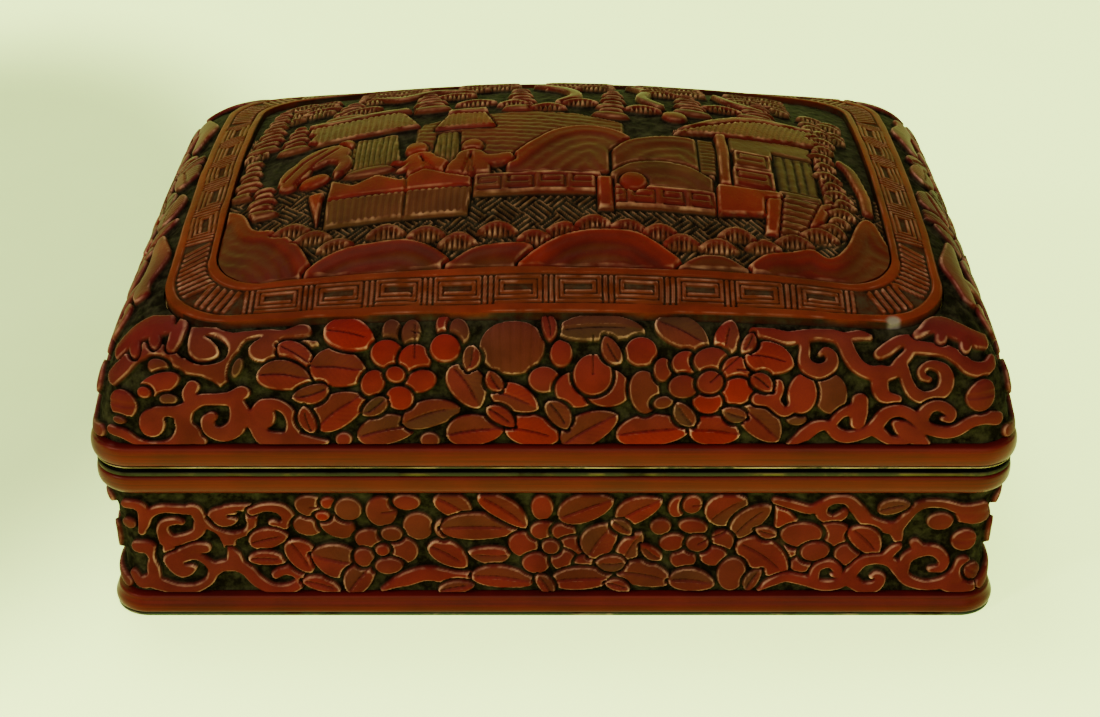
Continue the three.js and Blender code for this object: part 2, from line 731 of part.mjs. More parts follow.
addMesh(lid, 'lid_frieze_right', lidFrieze(1, shortRuns, lidShortShares), cinnabar);
addMesh(lid, 'lid_frieze_back', lidFrieze(2, longRuns, lidLongShares), cinnabar);
addMesh(lid, 'lid_frieze_left', lidFrieze(3, shortRuns, lidShortShares), cinnabar);
addMesh(lid, 'lid_fret_border', fretBorder(), cinnabar);
addMesh(lid, 'lid_garden_scene', scenePanel(), cinnabarBright);
addMesh(lid, 'lid_brass_shell', domedLayer(lidBrassDepth, brassSheet), paleBrass);
addMesh(lid, 'lid_black_lining', domedLayer(lidLiningDepth, liningCoat), blackLacquer);

// Base, from the rim down
const brassInner = baseBrassInset + brassSheet;
const lipInner = baseLiningInset + lipSheet;
const liningInner = baseLiningInset + liningCoat;
addMesh(base, 'base_rim_wire', levelBand([
  [rimWireInset, rimWireFoot],
  [rimWireInset, baseHeight],
  [brassInner, baseHeight],
  [brassInner, rimWireFoot],
]), tarnishedBrass);
addMesh(base, 'base_upper_moulding', levelBand([
  [upperMouldingUndercut, upperMouldingFoot],
  [upperMouldingInset, THREE.MathUtils.lerp(upperMouldingFoot, upperMouldingTop, 0.5)],
  [upperMouldingInset, upperMouldingTop],
  [baseCoatInset, upperMouldingTop],
  [baseCoatInset, upperMouldingFoot],
]), cinnabar);
addMesh(base, 'base_frieze_front', baseFrieze(0, baseLongShares), cinnabar);
addMesh(base, 'base_frieze_right', baseFrieze(1, baseShortShares), cinnabar);
addMesh(base, 'base_frieze_back', baseFrieze(2, baseLongShares), cinnabar);
addMesh(base, 'base_frieze_left', baseFrieze(3, baseShortShares), cinnabar);
addMesh(base, 'base_foot_moulding', levelBand([
  [footMouldingBottomInset, footMouldingFoot],
  [footMouldingBottomInset, THREE.MathUtils.lerp(footMouldingFoot, footMouldingTop, 0.4)],
  [footMouldingTopInset, footMouldingTop],
  [baseCoatInset, footMouldingTop],
  [baseCoatInset, footMouldingFoot],
]), cinnabar);
addMesh(base, 'base_foot_wire', levelBand([
  [footWireInset, 0],
  [footWireInset, footWireHeight],
  [baseCoatInset, footWireHeight],
  [baseCoatInset, 0],
]), tarnishedBrass);
addMesh(base, 'base_brass_wall', levelBand([
  [baseBrassInset, bottomFoot],
  [baseBrassInset, rimWireFoot - pieceGap],
  [brassInner, rimWireFoot - pieceGap],
  [brassInner, bottomFoot],
]), paleBrass);
addMesh(base, 'base_brass_bottom', levelPlate(brassInner + pieceGap, bottomFoot, bottomTop), paleBrass);
addMesh(base, 'base_lip_band', levelBand([
  [baseLiningInset, baseHeight - lipDrop],
  [baseLiningInset, baseHeight + lipRise],
  [lipInner, baseHeight + lipRise],
  [lipInner, baseHeight - lipDrop],
]), tarnishedBrass);
const liningCup = toSolid(levelPlate(baseLiningInset, liningFoot, liningTop));
const liningRoom = toSolid(levelPlate(liningInner, liningFoot + floorRise, liningTop + floorRise));
addMesh(base, 'base_black_lining', toGeometry(liningCup.subtract(liningRoom)), blackLacquer);
addMesh(base, 'base_black_underside', levelPlate(baseBrassInset, undersideRise, undersideTop), blackLacquer);

export default box;
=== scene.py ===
"""Looks of the carved cinnabar lacquer box: its relief, lacquer, brass and studio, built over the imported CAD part."""

import logging
import math
from collections.abc import Callable, Sequence
from dataclasses import dataclass, field
from enum import Enum

import bpy
import numpy as np
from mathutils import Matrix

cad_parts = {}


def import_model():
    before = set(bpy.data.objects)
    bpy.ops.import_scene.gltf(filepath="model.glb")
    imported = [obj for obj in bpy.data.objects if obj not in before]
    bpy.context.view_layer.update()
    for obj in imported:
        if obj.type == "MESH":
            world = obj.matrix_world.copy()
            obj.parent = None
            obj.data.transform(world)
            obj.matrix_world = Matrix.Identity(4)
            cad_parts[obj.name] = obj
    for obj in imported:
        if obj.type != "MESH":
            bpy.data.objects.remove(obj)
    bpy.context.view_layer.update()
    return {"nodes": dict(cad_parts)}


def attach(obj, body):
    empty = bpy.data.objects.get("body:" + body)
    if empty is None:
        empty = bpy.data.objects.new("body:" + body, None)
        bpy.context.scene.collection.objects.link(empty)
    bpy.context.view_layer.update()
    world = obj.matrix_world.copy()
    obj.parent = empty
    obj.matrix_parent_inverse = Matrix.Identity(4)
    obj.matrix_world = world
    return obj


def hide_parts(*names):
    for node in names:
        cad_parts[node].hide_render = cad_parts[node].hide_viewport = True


Array = np.ndarray
Spot = tuple[float, float]
LOG = logging.getLogger("cinnabar_box")
MM = 0.001
# Farther than anything on the box, in millimetres
FAR = 1000.0
# Side of the cube of random values behind all unevenness, and a shift that keeps every place inside positive cells
LATTICE = 32
LATTICE_SHIFT = 97.3


# ---- Small helpers ----


def linear(hex_colour: int) -> tuple[float, float, float, float]:
    """Turns an sRGB hex colour into the linear colour that shaders take.

    Args:
        hex_colour: the colour as 0xRRGGBB.

    Returns:
        Red, green, blue and an alpha of 1.
    """
    shares = [((hex_colour >> shift) & 255) / 255 for shift in (16, 8, 0)]
    red, green, blue = (s / 12.92 if s <= 0.04045 else ((s + 0.055) / 1.055) ** 2.4 for s in shares)
    return red, green, blue, 1.0


def ease(low: float, high: float, value: Array) -> Array:
    """Goes smoothly from 0 at low to 1 at high.

    Args:
        low: value at which the result is 0.
        high: value at which the result is 1.
        value: values to map.

    Returns:
        The mapped values.
    """
    share = np.clip((value - low) / (high - low), 0.0, 1.0)
    return share * share * (3.0 - 2.0 * share)


def ripple(points: Array, pitch: float, seed: int) -> Array:
    """Smooth unevenness of a hand-worked surface.

    Args:
        points: places in millimetres, three to each.
        pitch: length of a wave in millimetres.
        seed: which unevenness it is.

    Returns:
        Values between -1 and 1.
    """
    lattice = np.random.default_rng(seed).uniform(-1, 1, (LATTICE, LATTICE, LATTICE)).astype(np.float32)
    scaled = points / pitch + LATTICE_SHIFT
    cell = np.floor(scaled).astype(np.int32)
    share = (scaled - cell).astype(np.float32)
    share = share * share * (3 - 2 * share)
    total = np.zeros(points.shape[:-1], np.float32)
    for corner in range(8):
        steps = np.array([corner & 1, (corner >> 1) & 1, corner >> 2])
        weight = np.prod(np.where(steps == 1, share, 1 - share), axis=-1)
        i, j, k = np.moveaxis((cell + steps) % LATTICE, -1, 0)
        total += weight * lattice[i, j, k]
    return total


def local(x: Array, y: Array, middle: Spot, turn: float) -> tuple[Array, Array]:
    """Places as seen from a form's own middle and direction.

    Args:
        x: places along the drawing.
        y: places up the drawing.
        middle: the form's middle.
        turn: the form's direction in degrees.

    Returns:
        Lengths along and across the form.
    """
    cos, sin = math.cos(math.radians(turn)), math.sin(math.radians(turn))
    right, up = x - middle[0], y - middle[1]
    return right * cos + up * sin, up * cos - right * sin


def ribbon(x: Array, y: Array, points: Sequence[Spot], widths: Sequence[float]) -> Array:
    """How far inside a ribbon each place lies.

    Args:
        x: places along the drawing.
        y: places up the drawing.
        points: the ribbon's middle line.
        widths: its width at each of those points.

    Returns:
        Distances to the ribbon's edge, positive inside it.
    """
    best = np.full(x.shape, -FAR, np.float32)
    for (ax, ay), (bx, by), start, end in zip(points, points[1:], widths, widths[1:]):
        along_x, along_y = bx - ax, by - ay
        length = max(along_x**2 + along_y**2, 1e-9)
        share = np.clip(((x - ax) * along_x + (y - ay) * along_y) / length, 0, 1)
        away = np.hypot(x - ax - share * along_x, y - ay - share * along_y)
        np.maximum(best, (start + (end - start) * share) / 2 - away, out=best)
    return best


def polygon(x: Array, y: Array, corners: Sequence[Spot]) -> Array:
    """How far inside a straight-sided outline each place lies.

    Args:
        x: places along the drawing.
        y: places up the drawing.
        corners: the outline's corners.

    Returns:
        Distances to the outline, positive inside it.
    """
    away = np.full(x.shape, FAR, np.float32)
    within = np.zeros(x.shape, bool)
    for (ax, ay), (bx, by) in zip(corners, [*corners[1:], corners[0]]):
        np.minimum(away, -ribbon(x, y, [(ax, ay), (bx, by)], [0, 0]), out=away)
        if ay != by:
            crossing = ax + (y - ay) * (bx - ax) / (by - ay)
            within ^= ((y < ay) != (y < by)) & (x < crossing)
    return np.where(within, away, -away)


def smooth_line(points: Sequence[Spot], steps: int = 6) -> list[Spot]:
    """Rounds a given line off.

    Args:
        points: the line's main points.
        steps: places between each two of them.

    Returns:
        A denser line through the same points.
    """
    line = np.array(points, float)
    ends = np.vstack([2 * line[0] - line[1], line, 2 * line[-1] - line[-2]])
    dense = []
    # Each stretch is a cubic from b to c that sets off and arrives in the direction of the points beside it
    for a, b, c, d in zip(ends, ends[1:], ends[2:], ends[3:]):
        for t in np.arange(steps) / steps:
            bent, twisted = 2 * a - 5 * b + 4 * c - d, 3 * b - a - 3 * c + d
            dense.append(0.5 * (2 * b + (c - a) * t + bent * t**2 + twisted * t**3))
    dense.append(line[-1])
    return [(float(p[0]), float(p[1])) for p in dense]


def middle_and_reach(points: Sequence[Sequence[float]], margin: float) -> tuple[Spot, float]:
    """Finds the middle of a form, and how far from it the carver works.

    Args:
        points: the form's points, each with its place in its first two numbers.
        margin: how far beyond the points the work goes.

    Returns:
        The middle and the reach.
    """
    places = np.array([point[:2] for point in points], float)
    low, high = places.min(axis=0), places.max(axis=0)
    return (float(low[0] + high[0]) / 2, float(low[1] + high[1]) / 2), float((high - low).max()) / 2 + margin


# ---- The carver's panel and motifs ----

# Habits of the carver, in millimetres and in shares of the relief
SIDE_OUTSET = 0.12  # the sloping side of a form lies outside its drawn outline
TRENCH_RUN = (0.15, 0.1)  # the outer side of a trench, beyond its width and within it
ROLL_RUN = 0.75  # how quickly the rolled edge of a top dies out
FOOT_RUN = 0.1  # how far a form's side starts outside its edge
WORK_MARGIN = 3.0  # how far round a form the carver works
BARE_TONE = -0.4  # tone of untouched ground
BARE_CLEAR = 4.0  # how far the nearest form counts at most
YOUNG_BED = 0.25  # height of the bed that a leaf or petal cuts into older forms
TENDRIL_SWELL = 0.18  # how far a tendril is left fatter than drawn
WEB_SWELL = 0.2  # how far a web is left fatter than drawn
TURN = 2 * math.pi


@dataclass
class Panel:
    """A stretch of face under the knife, with lengths in millimetres and heights as shares of the relief.

    Args:
        x: each point's place along the drawing.
        y: its place up the drawing.
        height: how high the carving stands there, from 0 for the ground to 1 for the finished face.
        tone: how bright the lacquer is there, from -1 for olive to 1 for orange red.
        clear: how far the nearest carved form is.
    """

    x: Array
    y: Array
    height: Array
    tone: Array
    clear: Array

    @classmethod
    def blank(cls, x: Array, y: Array) -> "Panel":
        """Starts a panel with nothing carved on it."""
        shape = x.shape
        return cls(x.astype(np.float32), y.astype(np.float32), np.zeros(shape, np.float32),
                   np.full(shape, BARE_TONE, np.float32), np.full(shape, BARE_CLEAR, np.float32))

    def window(self, middle: Spot, reach: float) -> "Panel":
        """Gives the part of the panel round a place.

        Args:
            middle: the place.
            reach: how far the part reaches from it.

        Returns:
            A smaller panel that shares its values with this one.
        """
        near = (np.abs(self.x - middle[0]) < reach) & (np.abs(self.y - middle[1]) < reach)
        rows, columns = np.flatnonzero(near.any(axis=1)), np.flatnonzero(near.any(axis=0))
        cut = (slice(0, 0), slice(0, 0))
        if rows.size and columns.size:
            cut = (slice(rows[0], rows[-1] + 1), slice(columns[0], columns[-1] + 1))
        return Panel(self.x[cut], self.y[cut], self.height[cut], self.tone[cut], self.clear[cut])

    def raise_form(self, inside: Array, top: float | Array = 1.0, tone: float | Array = 0.0, gap: float = 0.42,
                   bed: float = 0.0, roll: float = 0.2, wall: float = 0.34) -> None:
        """Leaves a form standing, with a trench cut round it.

        Args:
            inside: distance to the form's edge, positive inside.
            top: height of the form.
            tone: brightness of its lacquer.
            gap: width of the trench.
            bed: height of the trench's bed over older forms.
            roll: how much lower the rolled edge of the top is.
            wall: how wide the form's side is, seen from above.
        """
        inside = inside + SIDE_OUTSET
        np.minimum(self.clear, -inside, out=self.clear)
        trench = ease(-gap - TRENCH_RUN[0], -gap + TRENCH_RUN[1], inside)
        self.height += (np.minimum(self.height, bed) - self.height) * trench
        rolled = top * (1 - roll * np.exp(-np.maximum(inside, 0) / ROLL_RUN))
        raised = rolled * ease(-FOOT_RUN, wall, inside)
        np.copyto(self.tone, np.float32(tone), where=raised > self.height)
        np.maximum(self.height, raised, out=self.height)

    def engrave(self, inside: Array, depth: float, soft: float = 0.1) -> None:
        """Cuts a line or hollow into what stands.

        Args:
            inside: distance to the cut's edge, positive inside.
            depth: how deep it is cut.
            soft: how wide its sloping side is.
        """
        self.height -= np.minimum(depth * ease(-soft, soft, inside), self.height)


class Motif:
    """A form that the carver knows by name."""

    def carve(self, panel: Panel) -> None:
        """Carves the form into a panel."""
        raise NotImplementedError


class Shape(Motif):
    """A form with an outline, which can stand alone or run together with others."""

    def where(self) -> tuple[Spot, float]:
        """Gives the form's middle and how far from it the carver works."""
        raise NotImplementedError

    def inside(self, part: Panel) -> Array:
        """Gives each point's distance to the form's edge, positive inside."""
        raise NotImplementedError


@dataclass(frozen=True)
class Leaf(Motif):
    """Pointed leaf with a cut midrib, and one half sunk and stained olive.

    Args:
        x: place of its middle along the drawing.
        y: place up the drawing.
        long: length.
        wide: width.
        turn: direction from stalk to tip, in degrees.
        tone: brightness of the lacquer.
        sunk: the half that is sunk: 1 left of the tip's direction, -1 right of it, 0 neither.
        level: height of the leaf.
    """

    x: float
    y: float
    long: float
    wide: float
    turn: float
    tone: float = 0.0
    sunk: int = 1
    level: float = 1.0

    def carve(self, panel: Panel) -> None:
        """Carves the leaf.

        Args:
            panel: the panel to work on.
        """
        bow, stalk_end, tip_end, fullest, slant = 0.05, 0.5, 0.62, 0.459, 0.92
        sunk_depth, sunk_stain = 0.2, 0.45
        rib_half, rib_depth, vein_pitch, vein_depth, lowest_vein = 0.15, 0.3, 1.1, 0.045, 0.4
        part = panel.window((self.x, self.y), max(self.long, self.wide) / 2 + WORK_MARGIN)
        u, v = local(part.x, part.y, (self.x, self.y), self.turn)
        share = np.clip(u / self.long + 0.5, 0, 1)
        v = v - bow * self.long * (1 - 4 * (share - 0.5) ** 2)
        half = self.wide / 2 * share**stalk_end * (1 - share) ** tip_end / fullest
        beyond = np.maximum(np.abs(u) - self.long / 2, 0)
        inside = np.where(beyond > 0, -np.hypot(beyond, v), (half - np.abs(v)) * slant)
        part.raise_form(inside, self.level, self.tone, bed=YOUNG_BED)
        # The midrib and veins start after the stalk and die out before the tip
        along = ease(0.02, 0.12, share) * ease(0.96, 0.7, share)
        covered = ease(0.0, 0.25, inside)
        if self.sunk:
            side = ease(0.0, 0.22, v * self.sunk) * covered
            part.height -= sunk_depth * side * np.exp(-np.abs(v) / (0.3 * self.wide)) * part.height
            part.tone -= side * sunk_stain
        part.engrave(rib_half - np.abs(v) + (along - 1) * 0.3, rib_depth, 0.1)
        veins = ease(0.55, 1.0, np.cos((u - np.abs(v)) * TURN / vein_pitch))
        part.height -= vein_depth * veins * covered * along * (part.height > lowest_vein)


@dataclass(frozen=True)
class Boss(Shape):
    """Rounded form, such as a petal, berry, knob, rock or head.

    Args:
        x: place of its middle along the drawing.
        y: place up the drawing.
        wide: size along its direction.
        high: size across it, or the same when it is 0.
        turn: direction in degrees.
        tone: brightness of the lacquer.
        level: height of its crown.
        ribs: spacing of the lines cut across it, or 0.
        cleft: whether a line is cut from its middle outward.
        crown: how much its edge falls off from the crown.
        gap: width of the trench cut round it.
    """

    x: float
    y: float
    wide: float
    high: float = 0.0
    turn: float = 0.0
    tone: float = 0.0
    level: float = 1.0
    ribs: float = 0.0
    cleft: bool = False
    crown: float = 0.16
    gap: float = 0.36

    def where(self) -> tuple[Spot, float]:
        """Gives the form's middle and reach."""
        return (self.x, self.y), max(self.wide, self.high) / 2 + WORK_MARGIN

    def inside(self, part: Panel) -> Array:
        """Measures from the form's rounded edge.

        Args:
            part: the stretch of face to measure on.

        Returns:
            Distances, positive inside.
        """
        high = self.high or self.wide
        u, v = local(part.x, part.y, (self.x, self.y), self.turn)
        return (1 - np.hypot(u / (self.wide / 2), v / (high / 2))) * min(self.wide, high) / 2

    def carve(self, panel: Panel) -> None:
        """Carves the form.

        Args:
            panel: the panel to work on.
        """
        part = panel.window(*self.where())
        inside = self.inside(part)
        u, v = local(part.x, part.y, (self.x, self.y), self.turn)
        reach = 1 - 2 * inside / min(self.wide, self.high or self.wide)
        top = self.level * (1 - self.crown * np.minimum(reach, 1) ** 2)
        part.raise_form(inside, top, self.tone, gap=self.gap, bed=YOUNG_BED)
        rib_depth, cleft_half, cleft_depth = 0.12, 0.13, 0.28
        covered = ease(0.05, 0.3, inside)
        if self.ribs:
            part.height -= rib_depth * ease(0.0, 0.9, np.cos(u * TURN / self.ribs)) * covered
        if self.cleft:
            part.engrave(np.minimum(cleft_half - np.abs(v), u), cleft_depth, 0.09)


@dataclass(frozen=True)
class Stem(Shape):
    """Ribbon of lacquer that winds through the ground and tapers.

    Args:
        points: its middle line.
        wide: width at its thickest.
        tips: width at its start and end, as shares of that.
        tone: brightness of the lacquer.
        level: height of its top.
        gap: width of the trench cut round it.
    """

    points: tuple[Spot, ...]
    wide: float
    tips: Spot = (0.7, 0.7)
    tone: float = 0.0
    level: float = 1.0
    gap: float = 0.0

    def where(self) -> tuple[Spot, float]:
        """Gives the stem's middle and reach."""
        return middle_and_reach(self.points, self.wide / 2 + WORK_MARGIN)

    def inside(self, part: Panel) -> Array:
        """Measures from the stem's edge.

        Args:
            part: the stretch of face to measure on.

        Returns:
            Distances, positive inside.
        """
        line = smooth_line(self.points)
        tips = np.interp(np.linspace(0, 1, len(line)), [0, 0.3, 0.7, 1], [self.tips[0], 1, 1, self.tips[1]])
        return ribbon(part.x, part.y, line, list(tips * self.wide))

    def carve(self, panel: Panel) -> None:
        """Carves the stem."""
        part = panel.window(*self.where())
        part.raise_form(self.inside(part), self.level, self.tone, self.gap)


@dataclass(frozen=True)
class Tendril(Shape):
    """Stem of a scroll with its width at each point, often curling in on itself.

    Args:
        line: places of its middle line, each with the width there.
        tone: brightness of the lacquer.
        gap: width of the trench cut round it.
    """

    line: tuple[tuple[float, float, float], ...]
    tone: float = 0.0
    gap: float = 0.3

    def where(self) -> tuple[Spot, float]:
        """Gives the tendril's middle and reach."""
        return middle_and_reach(self.line, max(spot[2] for spot in self.line) / 2 + WORK_MARGIN)

    def inside(self, part: Panel) -> Array:
        """Measures from the tendril's edge.

        Args:
            part: the stretch of face to measure on.

        Returns:
            Distances, positive inside.
        """
        path = smooth_line([spot[:2] for spot in self.line])
        places = np.linspace(0, len(self.line) - 1, len(path))
        widths = np.interp(places, range(len(self.line)), [spot[2] for spot in self.line])
        return ribbon(part.x, part.y, path, list(widths))

    def carve(self, panel: Panel) -> None:
        """Carves the tendril."""
        part = panel.window(*self.where())
        part.raise_form(self.inside(part) + TENDRIL_SWELL, 1.0, self.tone, self.gap)


@dataclass(frozen=True)
class Cut(Motif):
    """Dark crescent cut down to the ground beside a curled knob.

    Args:
        line: places of its middle line, each with the width there.
    """

    line: tuple[tuple[float, float, float], ...]

    def carve(self, panel: Panel) -> None:
        """Cuts the crescent.

        Args:
            panel: the panel to work on.
        """
        path = Tendril(self.line)
        part = panel.window(*path.where())
        part.engrave(path.inside(part), 1.0, 0.14)


def scroll(x: float, y: float, wide: float, start: float, sweep: float) -> Tendril:
    """Stem that curls inward to a knob.

    Args:
        x: place of the curl's middle along the drawing.
        y: place up the drawing.
        wide: size of the curl.
        start: angle at which it starts, in degrees.
        sweep: two thirds of how far it goes round, anticlockwise when positive.

    Returns:
        The curled stem.
    """
    line = []
    for share in (step / 8 for step in range(9)):
        # It draws in as it turns, swells a little, and ends in a round tip
        angle, reach = math.radians(start + 1.5 * sweep * share), wide * (0.38 - 0.27 * share**1.2)
        width = wide * (0.24 + 0.1 * share - 0.16 * share**6)
        line.append((x + reach * math.cos(angle), y + reach * math.sin(angle), width))
    return Tendril(tuple(line))


@dataclass(frozen=True)
class Slab(Shape):
    """Flat form with straight edges, such as a wall, a roof or a step.

    Args:
        points: its corners.
        level: height of its face.
        tone: brightness of the lacquer.
        ribs: spacing of the lines cut across it, or 0.
        turn: direction in which the lines follow each other, in degrees.
        cut: depth of the lines.
        gap: width of the trench cut round it.
    """

    points: tuple[Spot, ...]
    level: float = 1.0
    tone: float = 0.0
    ribs: float = 0.0
    turn: float = 0.0
    cut: float = 0.16
    gap: float = 0.3

    def where(self) -> tuple[Spot, float]:
        """Gives the slab's middle and reach."""
        return middle_and_reach(self.points, WORK_MARGIN)

    def inside(self, part: Panel) -> Array:
        """Measures from the slab's outline."""
        return polygon(part.x, part.y, self.points)

    def carve(self, panel: Panel) -> None:
        """Carves the slab.

        Args:
            panel: the panel to work on.
        """
        middle, reach = self.where()
        part = panel.window(middle, reach)
        inside = self.inside(part)
        part.raise_form(inside, self.level, self.tone, self.gap, roll=0.06, wall=0.24)
        if self.ribs:
            u, _ = local(part.x, part.y, middle, self.turn)
            part.height -= self.cut * ease(0.0, 0.9, np.cos(u * TURN / self.ribs)) * ease(0.1, 0.4, inside)


@dataclass(frozen=True)
class Web(Motif):
    """Stems, curled ends and slabs that the carver leaves standing as one flat form, with its crescents.

    Args:
        forms: what runs together, and the cuts made in it.
        tone: brightness of the lacquer.
        level: height of its face.
        melt: how far the forms round into each other where they meet.
    """

    forms: tuple[Motif, ...]
    tone: float = 0.05
    level: float = 1.0
    melt: float = 0.4

    def carve(self, panel: Panel) -> None:
        """Carves the whole web, then its cuts.

        Args:
            panel: the panel to work on.
        """
        cover = np.full_like(panel.height, -BARE_CLEAR)
        for form in self.forms:
            if isinstance(form, Shape):
                near = Panel(panel.x, panel.y, cover, cover, cover).window(*form.where())
                inside = form.inside(near)
                meeting = np.maximum(self.melt - np.abs(near.height - inside), 0)
                near.height[...] = np.maximum(near.height, inside) + meeting**2 / (4 * self.melt)
        panel.raise_form(cover + WEB_SWELL, self.level, self.tone, gap=0.2, bed=0.2)
        for form in self.forms:
            if not isinstance(form, Shape):
                form.carve(panel)


@dataclass(frozen=True)
class Dune(Motif):
    """Low hill with a bright crest, which falls off to stained flanks.

    Args:
        crest: its crest line, from left to right.
        foot: place of its foot up the drawing.
        tone: brightness of the crest.
        level: height of the crest.
        flank: how far down from the crest the stain starts.
    """

    crest: tuple[Spot, ...]
    foot: float
    tone: float = 0.5
    level: float = 1.0
    flank: float = 1.6

    def carve(self, panel: Panel) -> None:
        """Carves the hill.

        Args:
            panel: the panel to work on.
        """
        line = smooth_line(self.crest)
        low, high = np.min(line, axis=0), np.max(line, axis=0)
        middle = (float(low[0] + high[0]) / 2, float(self.foot + high[1]) / 2)
        part = panel.window(middle, max(float(high[0] - low[0]), float(high[1]) - self.foot) / 2 + 2)
        inside = polygon(part.x, part.y, [*line, (line[-1][0], self.foot), (line[0][0], self.foot)])
        away = -ribbon(part.x, part.y, line, [0] * len(line))
        # Soft terraces follow the crest line down, 2.3 mm apart
        wave = np.cos(away * TURN / 2.3) * ease(0.2, 1.0, away)
        fall, terrace, stain = 0.36, 0.045, 0.36
        top = self.level * (1 - fall * ease(0.5, 4.4, away) + terrace * wave)
        stained = (self.tone + 0.3) * (0.3 + 0.7 * np.exp(-((away / self.flank) ** 2)) + 0.15 * wave) - stain
        part.raise_form(inside, top, stained, gap=0.4, roll=0.12, wall=0.4)


@dataclass(frozen=True)
class Comb(Motif):
    """Tuft of grass or pine: a smooth ridge with a row of teeth under it.

    Args:
        x: place of its middle along the drawing.
        y: place up the drawing.
        wide: its width.
        high: its height.
        turn: direction in degrees.
        tone: brightness of the ridge.
        pitch: spacing of the teeth.
    """

    x: float
    y: float
    wide: float = 7.0
    high: float = 3.0
    turn: float = 0.0
    tone: float = 0.15
    pitch: float = 0.82

    def carve(self, panel: Panel) -> None:
        """Carves the tuft.

        Args:
            panel: the panel to work on.
        """
        part = panel.window((self.x, self.y), max(self.wide, self.high) / 2 + 2)
        u, v = local(part.x, part.y, (self.x, self.y), self.turn)
        span = 1 - (2 * u / self.wide) ** 2
        ridge = self.high * (0.8 * span - 0.3)
        foot = v + self.high * (0.5 - 0.25 * (1 - span))
        inside = np.minimum(np.minimum(ridge - v, foot), (1 - np.abs(2 * u / self.wide)) * 2)
        below = ease(0.34 * self.high, 0.5 * self.high, ridge - v)
        gaps = ease(-0.1, 0.5, np.cos(u * TURN / self.pitch))
        top, tooth_drop, gap_drop, stain = 0.95, 0.12, 0.62, 0.5
        part.raise_form(inside, top * (1 - below * (tooth_drop + gap_drop * gaps)), self.tone - below * stain,
                        gap=0.2, bed=0.2, wall=0.24)


@dataclass(frozen=True)
class Groove(Motif):
    """Line cut along a path, such as a fold, a frame or the fret in a rail.

    Args:
        points: the line's path.
        wide: width of the cut.
        depth: depth of the cut.
    """

    points: tuple[Spot, ...]
    wide: float = 0.3
    depth: float = 0.35

    def carve(self, panel: Panel) -> None:
        """Cuts the line."""
        part = panel.window(*middle_and_reach(self.points, 1.0))
        part.engrave(ribbon(part.x, part.y, self.points, [self.wide] * len(self.points)), self.depth)


@dataclass(frozen=True)
class Diaper(Motif):
    """Low hatched diamonds that stand for open ground.

    Args:
        high: where the ground ends up the drawing.
        pitch: distance between the lines.
        cell: size of a diamond.
        lift: height of the lines.
        tone: brightness of the lacquer.
    """

    high: float
    pitch: float = 0.95
    cell: float = 3.8
    lift: float = 0.38
    tone: float = -0.8

    def carve(self, panel: Panel) -> None:
        """Carves the lines all over the panel, before anything stands on it.

        Args:
            panel: the panel to work on.
        """
        rising, falling = panel.x + panel.y, panel.x - panel.y
        # Both run at 45 degrees, where 1.4 of either is a millimetre
        odd = (np.floor(rising / self.cell / 1.4) + np.floor(falling / self.cell / 1.4)) % 2 == 0
        lines = np.cos(np.where(odd, rising, falling) * TURN / (self.pitch * 1.4))
        open_ground = ease(self.high + 1, self.high - 1, panel.y)
        np.maximum(panel.height, self.lift * ease(-0.2, 0.9, lines) * open_ground, out=panel.height)
        panel.tone[...] = self.tone


def flower(x: float, y: float, wide: float, turn: float, tone: float = 0.5) -> list[Motif]:
    """Five-petalled flower with a round heart.

    Args:
        x: place of its middle along the drawing.
        y: place up the drawing.
        wide: size of the whole flower.
        turn: direction of the first petal, in degrees.
        tone: brightness of the lacquer.

    Returns:
        Its petals and heart.
    """
    petals: list[Motif] = []
    reach, long, broad, heart, darker = wide * 0.31, wide * 0.4, wide * 0.36, wide * 0.24, 0.2
    for step in range(5):
        way = turn + 72 * step
        spot = (x + reach * math.cos(math.radians(way)), y + reach * math.sin(math.radians(way)))
        petals.append(Boss(*spot, long, broad, way, tone - darker * (step % 2), cleft=True))
    return [*petals, Boss(x, y, heart, tone=tone - darker)]


def fill_ground(panel: Panel, limit: Array, least: float, most: float, tone: float, seed: int) -> None:
    """Puts small leaf tips and petals into bare ground, the largest bare spots first.

    Args:
        panel: the panel to work on.
        limit: how much room the drawing allows at each point.
        least: smallest bare radius that is still filled.
        most: radius of the largest leaf tip.
        tone: usual brightness of the lacquer.
        seed: which arrangement it is.
    """
    dice = np.random.default_rng(seed)
    most_leaves, angle_step, strip_half, strip_reach, bare_share, level = 200, 20, 0.3, 2.4, 0.5, 0.9
    for _ in range(most_leaves):
        coarse = np.minimum(panel.clear, limit)[::2, ::2]
        row, column = np.unravel_index(np.argmax(coarse), coarse.shape)
        room = float(coarse[row, column])
        if room < least:
            return
        x, y = float(panel.x[::2, ::2][row, column]), float(panel.y[::2, ::2][row, column])
        near = panel.window((x, y), room * 3)
        turn, best = 0.0, -1.0
        for angle in range(0, 180, angle_step):
            u, v = local(near.x, near.y, (x, y), angle)
            line = near.clear[(np.abs(v) < strip_half) & (np.abs(u) < room * strip_reach)]
            reach = float(np.mean(line > room * bare_share)) if line.size else 0.0
            if reach > best:
                turn, best = float(angle), reach
        radius = min(room, most)
        shade = tone + float(dice.uniform(-0.4, 0.3))
        # The longer the bare strip, the longer the leaf
        length, width = radius * (2.6 + 1.8 * best), radius * 2.1
        way, sunk = turn + 180 * dice.integers(2), int(dice.integers(-1, 2))
        Leaf(x, y, length, width, way, shade, sunk, level).carve(panel)


# ---- Drawings ----

